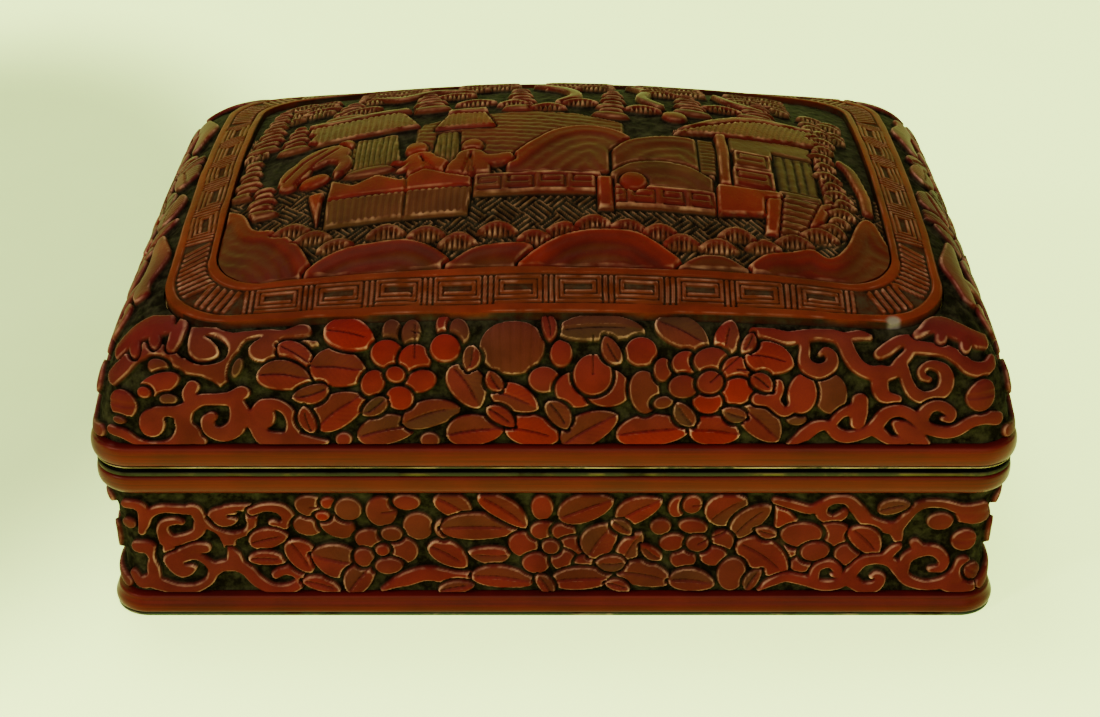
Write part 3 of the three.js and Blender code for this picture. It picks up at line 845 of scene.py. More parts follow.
# Friezes, in millimetres along the face from its middle, and up it from the edge of the lid or from the table
LID_FRONT: list[Motif] = [
    Web((
        Slab(((-57.4, 26.3), (-55, 26.5), (-53.2, 26.4), (-52.2, 25.8), (-50, 25.2), (-48.6, 24.8), (-49.8, 22.5),
            (-51, 20.7), (-51.4, 19), (-51.8, 16.9), (-53, 15.9), (-54.2, 17), (-56, 17.9), (-59.2, 18.5),
            (-59.4, 19.7), (-58.2, 21.5), (-57.8, 23.5))),
        Tendril(((-49.8, 24.3, 2.2), (-47.8, 24.8, 1.5), (-44.8, 24.8, 1.7), (-42.6, 24.7, 1.5), (-40.2, 25.3, 2),
            (-39.2, 25.4, 1.7))),
        Boss(-46, 22.3, 4.9, 4.9),
        Tendril(((-44.6, 22.3, 2.5), (-42.6, 20.9, 2.2), (-40, 20.4, 1.2))),
        Tendril(((-71.6, 16.3, 2.2), (-69.4, 18.6, 2.4), (-67, 21.3, 2.4), (-64, 22.5, 2.2), (-61.4, 22.1, 2.2),
            (-59.4, 20.2, 1.7))),
        Cut(((-54.6, 24.8, 0.5), (-53.4, 24.3, 1.2), (-52.2, 22.8, 1.5), (-52.6, 21, 1.1), (-54.6, 20.1, 0.7),
            (-56.8, 20.3, 0.6), (-58.2, 21.7, 0.9), (-58.6, 23.6, 1.2))),
        Cut(((-46.6, 24.3, 0.4), (-48.2, 23.6, 1.1), (-49, 22.2, 1.2), (-48.4, 20.4, 1), (-46.6, 19.6, 0.7),
            (-44.6, 19.8, 1))),
    ), -0.1),
    Boss(-63, 19.8, 3.7, 3, 0, -0.3), Boss(-63, 16.4, 7.8, 4.1, 25, 0.15), Boss(-65.6, 14.8, 2.4, 2.4, tone=0.3),
    Boss(-69.4, 12.2, 5.6, 5.1, 90, 0.1, ribs=2.6, crown=0.1),
    Web((
        Tendril(((-71.6, 20, 1.8), (-69, 22.6, 2.1), (-65.6, 24.8, 2.1), (-61.6, 26.2, 1.6))),
        Boss(-67.6, 21.7, 2.2, 2.6), Boss(-63.9, 24, 2.2, 2.6),
        Tendril(((-60.6, 23.2, 1.6), (-60, 24.8, 2.2), (-59.2, 26.4, 1.8))),
    )),
    Boss(-50.2, 19.2, 1.7, 4.1, -20, -0.6), Boss(-61.6, 13.4, 3.4, 2.4, 0, -0.5),
    Tendril(((-42.6, 23, 1), (-39.8, 22.9, 1.5), (-37.6, 23.1, 0.5)), -0.4),
    Web((
        Tendril(((-58.8, 10.6, 2), (-61, 10.9, 2), (-63.6, 10.9, 2))),
        Boss(-64.6, 8.8, 4.1, 5.2),
        Tendril(((-71.8, 7.1, 1.5), (-69.4, 6.7, 1.7), (-67.2, 5.3, 1.3), (-64.8, 4.6, 0.9), (-62, 4.6, 1.5),
            (-60, 6, 2.5), (-59.4, 8.5, 2.8), (-59.4, 10.9, 2.7))),
        Boss(-58.6, 6.6, 3.6, 4), Boss(-57, 5.2, 2, 1.9),
        Tendril(((-57.6, 12.7, 2.2), (-58, 14.4, 2.2), (-57.4, 15.9, 2))),
        Tendril(((-59.2, 10.9, 2.2), (-56.4, 13.1, 2.1), (-53.6, 13.3, 2.1), (-51.4, 13.4, 2.5), (-49.6, 14.5, 2.3))),
        Tendril(((-50.6, 12.4, 2.2), (-50.4, 10, 2.5), (-51, 7.9, 2.7), (-53.2, 6.6, 2.5), (-55, 7.3, 2.3),
            (-55.4, 9, 2), (-54.6, 10, 1.5))),
        Tendril(((-50.2, 12.1, 2), (-49, 10, 1.7), (-47.8, 7.9, 2), (-46.6, 6, 2.7), (-44.2, 5.5, 2.7),
            (-41.8, 5.7, 2.5), (-36.8, 5.3, 0.5))),
        Tendril(((-42.4, 6.3, 2.2), (-42, 8.7, 1.8), (-42.6, 11, 1.8), (-44.4, 12.2, 1.7), (-46.2, 12.1, 2))),
        Boss(-46.5, 10.3, 3.5, 4.7),
        Cut(((-62, 9.4, 1), (-61.4, 8, 1.2), (-62.2, 6.4, 0.9), (-64.4, 5.7, 0.7), (-66.6, 6.3, 0.8), (-68, 8, 0.9),
            (-68.4, 9.6, 1))),
    )),
    Boss(-70.2, 9.2, 2.6, 1.6, 0, -0.3), Leaf(-41, 20.8, 6.8, 4.2, -36, 0.1, 0), Boss(-33.9, 5.6, 3, 2.8, tone=0.1),
    Boss(-20, 5.4, 3.2, 3, tone=0), Leaf(-34.3, 10.9, 9.8, 6.2, 38, 0.25, 1), Leaf(-43, 17, 8.8, 5.6, -6, 0.15, 1),
    Leaf(-34.2, 18.4, 9.6, 6.8, -6, 0.2, 1), Leaf(-32.3, 24.2, 8.4, 5.8, -14, 0.5, 0),
    Leaf(-26.8, 6.9, 9.8, 5.8, 12, -0.05, 1), Leaf(-19.6, 10, 10, 5.2, 18, -0.1, -1),
    Leaf(-12.8, 7, 9.4, 6, 8, 0.3, 1), Leaf(-3.5, 6.9, 9.2, 6.2, -14, 0.45, 0),
    Leaf(-14, 15.2, 8.6, 5.8, -58, 0.05, 1), Leaf(-6.1, 13, 8.2, 4.8, -22, 0.35, -1),
    Boss(-6.6, 21.9, 10.4, 9.2, 0, -0.35, ribs=1.6, crown=0.1), Boss(-1.4, 16.6, 5.2, 4.6, 0, 0.1),
    Boss(1.2, 21, 3.6, 4.6, 0, 0.2), Boss(-25.5, 24.9, 3.4, 4.6, 10, -0.6),
    Boss(-22.6, 24.8, 3.2, 4.4, -10, -0.5, cleft=True), Boss(-17.2, 25.8, 3, 3.8, 0, 0.2),
    Boss(-14.8, 24.8, 3.2, 4.2, 20, -0.4), Boss(-28.8, 16.2, 5.2, 3.7, 60, 0.3), Boss(-26.4, 21.3, 5.2, 4.9, 0, 0.4),
    Boss(-22, 20.3, 5.2, 5.2, 90, 0.45, cleft=True), Boss(-17.2, 22, 5, 4.8, 0, 0.55),
    Boss(-21.2, 16.4, 5.4, 4, 25, 0.4), Boss(-24.7, 13.3, 4.8, 4.6, 90, 0.5), Boss(-25.1, 17.7, 3.2, 3, tone=0.4),
    Leaf(5.8, 7.3, 10.2, 6.2, 32, 0.1, 1), Leaf(16, 6.9, 12, 6.2, 7, 0.5, 1), Leaf(25.9, 6.9, 8.4, 5.6, -7, 0.6, 1),
    Leaf(33.2, 8.5, 8.8, 5.6, -44, 0.1, 1), Leaf(7.4, 24.7, 14, 4.6, 0, -0.5, -1),
    Leaf(20.2, 24.2, 9.6, 5, -26, -0.3, 1), Leaf(27.6, 23.9, 5.6, 4.2, 80, 0.1, -1), Boss(13.9, 21.4, 5.2, 5, 0, 0.3),
    Boss(3.7, 14.9, 7, 6.6, 0, 0.15, crown=0.08), Boss(8.5, 15, 7.4, 7, 0, 0.05, crown=0.08),
    Boss(6.2, 17.4, 7.2, 6.4, 90, 0.2, cleft=True, crown=0.08),
    Boss(14.4, 14.4, 5.2, 7.8, 0, -0.15, crown=0.08), Boss(17.4, 18.4, 3, 4.4, 0, 0.1),
    Boss(17.6, 12.6, 3.6, 2.4, 10, -0.2), Boss(20.9, 19.6, 4.4, 4.2, 0, 0.1), Boss(25, 20, 5.8, 4.6, 0, -0.1),
    Boss(29, 18.4, 4.6, 5, 0, 0.1, cleft=True), Boss(29.2, 14.6, 5.2, 5, 30, 0.5), Boss(24.6, 12.6, 4.8, 4.6, 0, 0.5),
    Boss(20.7, 15.4, 4.8, 4.4, 0, 0), Boss(24.9, 16.2, 4.4, 4.2, 45, 0, cleft=True),
    Leaf(34.2, 20, 8.2, 5.4, -12, 0.3, 0), Boss(44.2, 14.2, 5.2, 7.4, 0, -0.4), Boss(39, 9.4, 3.4, 2.4, 0, -0.6),
    Web((
        Tendril(((32.8, 13.3, 2.2), (34.8, 13.3, 2.2), (35.6, 15, 2), (35.6, 16, 1.5))),
        Tendril(((35.2, 12.5, 2), (37, 10.8, 1.5), (38.6, 12, 1.5))), Boss(39.7, 14.1, 4.4, 6.8),
    ), tone=0.2),
    Web((
        Tendril(((31.6, 24.9, 1), (34.4, 24.5, 1.7), (37, 23.9, 2), (39.4, 24.4, 2), (42, 24.8, 1.7), (44.8, 24.5, 2),
            (46.2, 23.3, 2.2), (47, 21.4, 2.2), (48.2, 19.5, 2.2), (49.8, 18.4, 2.2), (52, 18.1, 2.5),
            (54, 18.5, 2.2), (55, 20.1, 2), (56.2, 21.9, 1.7), (56.8, 23.5, 1.5), (56.2, 24.4, 1.5), (54.4, 23.9, 2),
            (52.8, 22.5, 2.2), (51.8, 21.7, 1.8))),
        Tendril(((46.2, 24.4, 1.5), (48.4, 24.9, 1.5), (50, 24.6, 0.7))),
        Tendril(((52, 18.2, 2.5), (52, 15.7, 2.5), (52.8, 13.9, 2.3), (54.8, 13.4, 1.5))),
        Tendril(((39.4, 24.1, 1.5), (39.8, 22.2, 1.5), (39.8, 20.2, 1.7), (40.6, 18.8, 2.2), (42.4, 18.2, 2.5),
            (44, 19.2, 2.2), (44.2, 20.8, 1.7), (43.2, 21.8, 1.2), (42.4, 21.4, 0.6))),
        Tendril(((56.6, 23.2, 2.2), (59.2, 22.9, 2), (62, 22.4, 1.7), (64.4, 20.9, 1.8), (66.2, 19.1, 2),
            (69, 18.1, 2.2), (71, 18.4, 2.2))),
        Tendril(((55.6, 19.1, 1.5), (56.4, 16.5, 1.7), (57.6, 14.6, 2), (59.6, 13.8, 2.1), (62, 14.8, 2.3),
            (62.6, 17.1, 2.1), (61.8, 19.2, 1.8), (59.8, 19.9, 1.3), (58.6, 18.9, 1.2), (58.8, 17.7, 1.1),
            (59.8, 17.2, 0.8))),
    )),
    Web((
        Tendril(((57.4, 25.4, 1.2), (59.6, 26.2, 1.4), (62.4, 25.6, 1.7), (65.4, 24.2, 1.9), (68.4, 22.6, 1.9),
            (71, 21.4, 1.6))),
        Boss(61.6, 24.5, 2, 1.8), Boss(66, 22.6, 2.2, 2.2),
    )),
    Web((
        Tendril(((38, 4.7, 0.7), (40.4, 6.6, 2.2), (42.2, 8.1, 2), (44, 8.3, 1.5), (46, 6.7, 2.1), (47.8, 6.3, 2.1),
            (50.2, 7, 1.8), (51.8, 8.4, 2.2), (53.4, 10.6, 2.2), (55.8, 11.2, 2), (58.2, 9.9, 2), (60.2, 7.9, 2.1),
            (62.6, 7.1, 2.1), (64.8, 7.4, 2), (67, 9, 2), (69.2, 9.6, 2.2), (71.8, 9.1, 2.2))),
        Tendril(((44.8, 8.9, 1.2), (46, 10.7, 1.4), (48, 11.5, 2))),
        Tendril(((48.8, 13, 2.5), (48.8, 10.8, 2.7), (48.8, 9, 2.2))),
        Tendril(((55, 8.7, 1.2), (56.2, 7.8, 2.7), (58, 6.3, 3), (59.8, 4.8, 1.5))),
        Tendril(((52.2, 7.1, 2), (54, 5.6, 1.5), (56.2, 5.2, 1.7))),
        Tendril(((59, 9.8, 2.2), (60.2, 11.8, 2), (62, 12.2, 1.8), (63.6, 10.9, 1.6), (63.6, 9.6, 1.2),
            (62.6, 9.7, 0.7))),
    ), tone=0.1),
    Boss(68.4, 13.8, 5.9, 5.6, 90, 0.1, ribs=2.8, crown=0.08),
]

BASE_FRONT: list[Motif] = [
    Boss(-71.2, 18, 3.2, 2.2, 0, -0.2),
    Web((
        Tendril(((-71.2, 22.1, 1.5), (-69.4, 22.1, 1.6), (-68.2, 21, 1.8), (-68.2, 18.8, 1.8), (-68.8, 16.6, 1.2))),
        Tendril(((-68.2, 18.1, 1.5), (-67.2, 20, 1.5), (-65.2, 21.2, 1.5), (-62.6, 21.2, 1.5), (-60.8, 21, 1.7),
            (-59.4, 21, 2.2), (-58.4, 18.8, 2), (-56.2, 16.9, 1.5), (-54.4, 15.7, 2), (-52.2, 16.3, 1.7),
            (-50.6, 17.5, 1.7), (-50, 20, 1.6), (-49.8, 21.5, 1.4), (-52.2, 21.8, 1.2), (-54, 21.4, 1.5))),
        Boss(-54.8, 19.6, 4.9, 4.1),
        Tendril(((-58.8, 17.8, 2), (-59.4, 16.2, 1.7), (-61.4, 15, 1.7), (-63.8, 14.6, 2), (-65.2, 16.2, 2),
            (-64.8, 18, 1.5), (-63, 18.6, 1.2), (-61.8, 18.3, 0.7))),
        Tendril(((-65, 15.1, 2), (-64.6, 13, 2), (-63.8, 11.8, 1.7))),
        Tendril(((-54.6, 15.4, 2.7), (-54.6, 13, 1.5))),
        Cut(((-53.8, 20, 0.5), (-52.2, 19.7, 0.9), (-51.4, 18.5, 0.9), (-52, 17.1, 0.7), (-54.2, 16.6, 0.6),
            (-56.2, 17.6, 0.6), (-57.4, 19.4, 0.7))),
    )),
    Web((
        Slab(((-54.8, 13), (-54.2, 13), (-53, 11.8), (-52, 8.7), (-57, 8.4), (-55.2, 10.4))),
        Tendril(((-49.8, 21, 1.5), (-47.6, 21.8, 1.5), (-45.2, 21.1, 2), (-44.2, 18.8, 2), (-45.6, 17.5, 1.5),
            (-46.8, 18.2, 1.2))),
        Tendril(((-70, 13.3, 2.2), (-68, 13, 2.5), (-67.2, 11, 1.8), (-67.6, 9, 2), (-68, 7, 2.2), (-70.2, 6.3, 2),
            (-71.4, 7.6, 1.5))),
        Tendril(((-67.6, 6.2, 2.2), (-64.2, 5.1, 1.7), (-61.4, 5.1, 1.7), (-58.6, 6.5, 1.8), (-57.4, 8.7, 2),
            (-55, 9.6, 1.7), (-52.2, 8.7, 2), (-50.2, 6.5, 2), (-47.6, 4.9, 1.7), (-44.6, 5, 1.7), (-42.8, 6.4, 1.6),
            (-43.6, 7.9, 1.5), (-45.4, 8.4, 1.5), (-47, 7.6, 1.2))),
        Boss(-63, 9.8, 5.4, 4.9),
        Tendril(((-62.2, 11.9, 2), (-60.2, 12.9, 2), (-58.6, 13, 1.7))),
        Tendril(((-60.8, 11.3, 2.2), (-58.8, 9.8, 2), (-57.2, 8.7, 2))),
        Cut(((-62, 10.1, 0.4), (-60.4, 10.1, 1.1), (-59.2, 8.7, 1.2), (-59.6, 7.2, 1), (-61.8, 6.4, 0.8),
            (-64.2, 7.2, 0.9), (-65.6, 8.7, 1), (-66.4, 11, 1), (-66, 13.3, 1.1))),
    )),
    Leaf(-39.4, 5.6, 6.6, 2.8, -15, 0.1, 0), Leaf(-47.8, 14.7, 7, 4.4, 12, 0.1, 0),
    Leaf(-48.2, 10.5, 7, 3, -4, 0.1, 0), Leaf(-42.6, 11.2, 7.2, 5, -62, 0.1, 0),
    Leaf(-36.9, 10.8, 8, 6.6, 168, 0, -1), Leaf(-32.7, 7, 7, 4.8, 50, 0.1, 1), Boss(-41, 17.6, 5.4, 4.6, 0, -0.25),
    Boss(-36.2, 17.4, 6.4, 4.8, -30, -0.15), Boss(-40.5, 22, 5.2, 4.8, 0, -0.2, cleft=True),
    Boss(-37.6, 22.8, 2.6, 2.6, 0, 0.3), Boss(-34.2, 21.4, 4.8, 5.2, 0, -0.3), Boss(-38.6, 19.8, 2.6, 2.4, 0, 0.5),
    Boss(-28.7, 20.8, 5.4, 6.6, 0, -0.05, cleft=True), Boss(-24.3, 22.7, 4.8, 3.6, 0, 0.1),
    Boss(-22.6, 17.6, 5.4, 5.8, 0, -0.15), Boss(-31, 14.9, 5, 4.2, 0, 0), Boss(-25.4, 12.5, 5, 5.4, 0, 0.05),
    Boss(-27.2, 16, 3.8, 3.2, 0, -0.1), Boss(-32, 11.2, 3.6, 3.8, 0, 0), Boss(-27.9, 9.4, 4.8, 3.4, 0, 0.05),
    Boss(-28.8, 12.6, 2.6, 2.5, 0, 0.3), Leaf(-17.8, 11.6, 8, 4.8, -32, 0.2, 0),
    Stem(((-29, 4.9), (-25.6, 6.5), (-21.6, 7.9), (-17.6, 7.2), (-14.2, 7.5)), 3, (0.3, 0.5), 0.3),
    Leaf(-16.6, 5, 6.6, 2.6, 14, 0.1, 1), Leaf(-16.6, 21.8, 7.4, 5, -36, 0.15, 1), Boss(-18.2, 17, 3.6, 4.2, 0, 0),
    Leaf(-12.4, 17, 12.8, 5.8, -2, 0.05, 1), Leaf(-8.4, 20.8, 10.8, 4.6, -42, 0.25, 1),
    Leaf(-10.8, 11.9, 7, 3.6, 176, 0.1, 1), Leaf(-8.6, 6.8, 10.8, 4.2, -8, 0.1, 1),
    Boss(-1.8, 21.5, 3.8, 5.8, 0, 0.1), Boss(-5.2, 13.6, 5.4, 4.8, -50, 0.15), Boss(-3.1, 9.9, 4.8, 4.2, 0, 0.1),
    Boss(-1.6, 16.4, 4.8, 4, 0, 0.1), Boss(1.6, 16.2, 4, 3.8, 0, 0.15), Boss(3, 13.2, 4.6, 4.4, 0, 0.1),
    Boss(1.5, 10.5, 4.4, 4.4, 0, 0.05), Boss(5.1, 9.9, 3.6, 3.4, 0, 0), Boss(-0.6, 13.1, 3.2, 3, 0, 0),
    Leaf(5.4, 21.2, 10, 6, 24, 0.1, 1), Leaf(14.2, 20.9, 9, 5.2, 34, 0.3, 1), Boss(20.6, 21.7, 3.2, 4.8, 0, 0.1),
    Boss(23, 22.2, 3.4, 4.2, 0, 0, cleft=True), Leaf(28.9, 21.2, 7.8, 6.6, 42, 0, -1),
    Leaf(33, 18.8, 9, 4.6, 48, -0.3, 0), Slab(((36.8, 23.8), (41.2, 18.2), (36.8, 17.2)), tone=0.3),
    Web((
        Tendril(((36.8, 23.2, 1.2), (39.6, 22.3, 1.6), (42.6, 21.3, 1.7), (44.4, 22.2, 1.7), (46.2, 23.4, 1.6),
            (48.6, 23.2, 1.8), (50.4, 21.1, 2.2), (52, 18.8, 2.2), (54.6, 17.5, 2.2), (57, 17.4, 2.2),
            (58.4, 19.1, 1.7), (59.8, 21.5, 1.7), (61.8, 22.6, 1.5), (64.6, 22.5, 1.5), (67.6, 21.3, 2),
            (71, 21.3, 2.7))),
        Tendril(((44.4, 21.8, 1.7), (44.6, 20, 1.8), (46.4, 18.9, 1.7), (48, 20, 1.4), (48.2, 20.8, 0.7))),
        Tendril(((57, 16.9, 2.5), (57.6, 14.9, 1.5))),
        Tendril(((67.6, 19.7, 2.2), (69.8, 19.4, 2.5), (71.8, 19.4, 2.2))),
    ), tone=0),
    Leaf(56.2, 21.6, 5.6, 3.4, 15, -0.4, 0), Boss(64.2, 18.6, 4.4, 4),
    Boss(68.8, 14.6, 4.6, 4.6, 90, 0, ribs=2.3, crown=0.06), Boss(39.4, 13, 5.2, 4.4, 0, 0),
    Boss(41.8, 9.8, 4, 3.4, 0, 0), Boss(46.8, 15.6, 6.6, 5.4, 0, -0.05), Boss(41.4, 15.8, 7.2, 5.2, 0, 0.05),
    Boss(43.8, 12.2, 5, 4, 0, 0), Boss(49.2, 11.5, 4.6, 4.6, 0, -0.1), Leaf(52, 14.4, 7.4, 4.8, -50, 0, 0),
    Leaf(35.1, 10.9, 11, 6.2, -38, 0.15, 0), Boss(18, 17.4, 3.8, 3.6, 0, 0), Boss(23.4, 17.3, 5, 3.4, -10, 0.05),
    Boss(28.2, 14.5, 4, 4.6, 0, 0), Boss(26.6, 11.4, 5, 4, 0, 0.1), Boss(21.7, 10.5, 4.4, 3.8, 0, 0.1),
    Boss(19.9, 14, 4.6, 3.6, 15, 0.15), Boss(24, 13.8, 4, 3.4, 30, 0, cleft=True),
    Leaf(7.8, 14.6, 7.6, 6, 58, 0.1, 1), Leaf(13, 12.9, 7.4, 4, 62, 0.1, -1), Leaf(4.8, 6.5, 11, 4.6, 2, 0.15, 1),
    Leaf(15.2, 7.3, 9.8, 5.2, -12, -0.15, 0), Leaf(23.3, 6.2, 8.2, 4.4, -4, 0, 1),
    Boss(30.1, 7.9, 5.2, 6.6, 0, -0.15),
    Web((
        Tendril(((35, 5.1, 0.7), (37.4, 6.5, 1.5), (39.6, 7.3, 1.7), (42.6, 6.5, 1.7), (45.6, 5.4, 1.8),
            (48.4, 5.9, 1.8), (50.2, 7.9, 2), (52, 10.1, 1.8), (54.6, 10.7, 1.8), (56.8, 10.1, 1.8), (58.4, 8.4, 2),
            (60, 6.5, 2), (62.8, 5.6, 1.6), (65.8, 6.1, 1.8), (68.2, 7.6, 2.5), (69.2, 9.8, 2.5))),
        Tendril(((44, 7, 1.5), (44.4, 8.9, 1.4), (46.4, 9.6, 1.4), (47.8, 8.4, 1.4), (47.8, 7.5, 0.9),
            (47, 7.4, 0.5))),
        Tendril(((55.8, 11.1, 1.7), (57, 12.6, 1.5), (57.8, 13.3, 1.2))),
        Tendril(((50.6, 6.2, 2.2), (52.4, 5.1, 1.8), (54.6, 5.4, 2), (55.4, 6.8, 1.6), (54.6, 7.6, 1),
            (53.8, 7.2, 0.5))),
        Tendril(((59, 8.7, 2), (59.6, 11, 2), (61.8, 12.3, 2), (64.2, 12.3, 2.1), (65.8, 10.5, 1.8), (65.4, 8.9, 1.4),
            (63.6, 8.6, 0.8))),
        Tendril(((61.8, 12.4, 2), (60.6, 14, 1.5))),
        Tendril(((66.4, 5.4, 1.7), (68.8, 5.1, 2.2), (71.2, 5.7, 2.5))),
    )),
    Boss(71, 8.2, 3.4, 3.6, 60, -0.1, ribs=1.6),
]

LID_SIDE: list[Motif] = [
    Web((
        Stem(((-50, 6), (-45, 5.2), (-40, 7.4), (-35, 5.4), (-29, 5), (-24, 6.2), (-19, 4.9)), 2.6, (0.8, 0.4)),
        Stem(((-36, 24), (-32, 24.6), (-28, 25.4), (-20, 24.6)), 2.8, (0.8, 0.5)),
        Stem(((-36, 14), (-32, 16.4), (-29.4, 20), (-30.6, 24)), 2.4, (0.7, 0.8)),
        Stem(((-29, 14.6), (-25.4, 15.2), (-20.4, 13.4)), 2.2, (0.7, 0.6)),
        scroll(-23.6, 10, 8.4, 170, -190), scroll(-22.4, 18.8, 7.8, 40, 190), scroll(-33.4, 10, 7.4, 200, 190),
        scroll(-42.6, 11.8, 8, 160, -195), scroll(-36.8, 19.2, 7, 60, 180),
    )),
    Leaf(-16, 13.4, 6.8, 3.6, 80, 0.1, 1), Leaf(16, 13.4, 6.8, 3.6, 100, 0, 1), Leaf(-12.5, 7.4, 10.2, 6, 18, 0.2, 1),
    Leaf(12.2, 7.2, 10.2, 6, -16, 0.3, 1), Leaf(-6, 24.6, 8.8, 4.6, 12, 0, 1), Leaf(7.4, 24.8, 8.8, 4.6, 170, 0.1, 1),
    Leaf(-12.6, 18.4, 9.8, 6.2, -24, 0.1, 1), Leaf(12.4, 18.2, 9.8, 6, 22, 0.4, -1),
    Leaf(0.4, 21.8, 8.8, 4.8, 6, -0.3, 1), *flower(0, 14.1, 14, 90, 0.6), Leaf(0, 6.4, 8.4, 4.2, 4, 0, 1),
    Web((
        Stem(((50, 6), (45, 5), (40, 7), (35, 5.2), (29, 5.2), (24, 6.4), (18, 4.9)), 2.6, (0.8, 0.4)),
        Stem(((35, 24.4), (32, 24), (26, 25.4), (18, 24.6)), 2.8, (0.8, 0.5)),
        Stem(((37, 15), (33, 16.4), (30.5, 20), (31, 24)), 2.4, (0.8, 0.8)),
        Stem(((29.6, 14.2), (26, 15), (21, 13)), 2.2, (0.7, 0.6)), scroll(23.6, 10, 8.4, -10, 200),
        scroll(22.6, 19, 7.8, 140, -190), scroll(33.4, 10.6, 7, 120, 210), scroll(42.4, 11.8, 8, 20, 195),
        scroll(36.8, 19.6, 6.8, 130, -180),
    )),
]

BASE_SIDE: list[Motif] = [
    Web((
        Stem(((-50, 5.4), (-44, 7.6), (-38, 5.4), (-33, 5), (-29, 6.6), (-25, 7.4), (-19, 5.2)), 2.4, (0.8, 0.4)),
        Stem(((-48, 22), (-43, 22.8), (-37, 21.4), (-31, 22.6), (-28, 20), (-29, 16)), 2.4, (0.8, 0.8)),
        scroll(-23.6, 14, 9.4, 160, 210), scroll(-34, 13.4, 8.2, 60, -190), scroll(-43.6, 14.6, 8.4, 150, 205),
    )),
    Boss(-22.4, 21.6, 5.4, 3.8, 20), Leaf(-11.4, 7.4, 10.4, 5.2, 10, 0.1, 1), Leaf(11.4, 7.4, 10.4, 5.2, -10, 0.2, 1),
    Leaf(-14.4, 13.8, 7.8, 4.2, 76, 0, 1), Leaf(14.4, 13.8, 7.8, 4.2, 104, 0, 1), Leaf(0, 21.6, 9.4, 4.4, 4, -0.1, 1),
    Leaf(-11.2, 20.4, 9.8, 5.4, -16, 0.1, 1), Leaf(11.2, 20.4, 9.8, 5.4, 16, 0, -1), Leaf(0, 6.4, 9, 3.8, 0, 0.1, 1),
    *flower(0, 14, 12.4, 90, 0.3), Boss(22.6, 21.6, 5.2, 3.8, -20),
    Web((
        Stem(((50, 5.6), (44, 7), (38, 5.4), (33, 5.2), (29, 7), (24, 6.4), (18.6, 4.9)), 2.4, (0.8, 0.4)),
        Stem(((48, 22.4), (43, 21.6), (37, 22.8), (31, 22), (29, 19.6), (30.5, 16)), 2.4, (0.8, 0.8)),
        scroll(23.6, 14, 9.4, 20, -210), scroll(34.4, 13, 8.2, 150, 200), scroll(43.8, 14, 8.4, 30, -200),
    )),
]


def railing(left: float, right: float, low: float, high: float, tone: float = 0.0) -> list[Motif]:
    """Low garden wall with a sunk fret in each of its bays.

    Args:
        left: its left end.
        right: its right end.
        low: its foot.
        high: its top.
        tone: brightness of the lacquer.

    Returns:
        The wall and its fret.
    """
    bay_length, post, rail, cut = 5, 0.7, 0.8, 0.42
    bays = max(round((right - left) / bay_length), 1)
    width = (right - left) / bays
    motifs: list[Motif] = [Slab(((left, low), (right, low), (right, high), (left, high)), tone=tone)]
    for bay in range(bays):
        start, end = left + bay * width + post, left + (bay + 1) * width - post
        foot, top, middle = low + rail, high - rail, (low + high) / 2
        fret = ((start, foot), (end, foot), (end, top), (start, top), (start, middle), (end - 1, middle))
        motifs.append(Groove(fret, cut))
    return motifs


def rock(x: float, low: float, high: float, wide: float, lean: float = 0.0, tone: float = -0.1) -> list[Motif]:
    """Pile of flat discs, the way the carver draws an eroded garden rock.

    Args:
        x: middle of its foot.
        low: its foot.
        high: its tip.
        wide: width at its foot.
        lean: how far the tip stands to the right of the foot.
        tone: brightness of the lacquer.

    Returns:
        The discs, from the tip down.
    """
    disc_rise, disc_high, tilt = 1.9, 2.5, 6
    steps = max(round((high - low) / disc_rise), 2)
    discs: list[Motif] = []
    for step in range(steps, 0, -1):
        share = (step - 0.5) / steps
        width = wide * (1.1 - 0.55 * share) * (0.85 + 0.3 * (step % 2))
        discs.append(Boss(x + lean * share, low + (high - low) * share, width, disc_high, tilt * (-1) ** step, tone))
    return discs


def pine(x: float, y: float, wide: float, high: float, tone: float = -0.2) -> list[Motif]:
    """Pine crown made of combed tufts in rows.

    Args:
        x: its middle.
        y: its foot.
        wide: width.
        high: height.
        tone: brightness of the lacquer.

    Returns:
        The tufts, from the top down.
    """
    row_rise = 2.7
    rows = max(round(high / row_rise), 1)
    tufts: list[Motif] = []
    for row in range(rows, 0, -1):
        shift = (row % 2 - 0.5) * wide * 0.34
        tufts.append(Comb(x + shift, y + high * (row - 0.5) / rows, wide * 0.6, 2.9, 7 * (-1) ** row, tone))
        tufts.append(Comb(x - shift * 1.3, y + high * (row - 0.85) / rows, wide * 0.5, 2.5, 0, tone + 0.15))
    return tufts


def strand(points: Sequence[Spot], wide: float) -> list[Motif]:
    """Hanging branch of combed tufts along a line.

    Args:
        points: the branch's line, from its far end.
        wide: width of a tuft.

    Returns:
        The tufts, the far one first.
    """
    line = enumerate(smooth_line(points, 2))
    return [Comb(x, y, wide * (0.9 + 0.2 * (step % 2)), turn=10 * (-1) ** step, tone=0.0) for step, (x, y) in line]


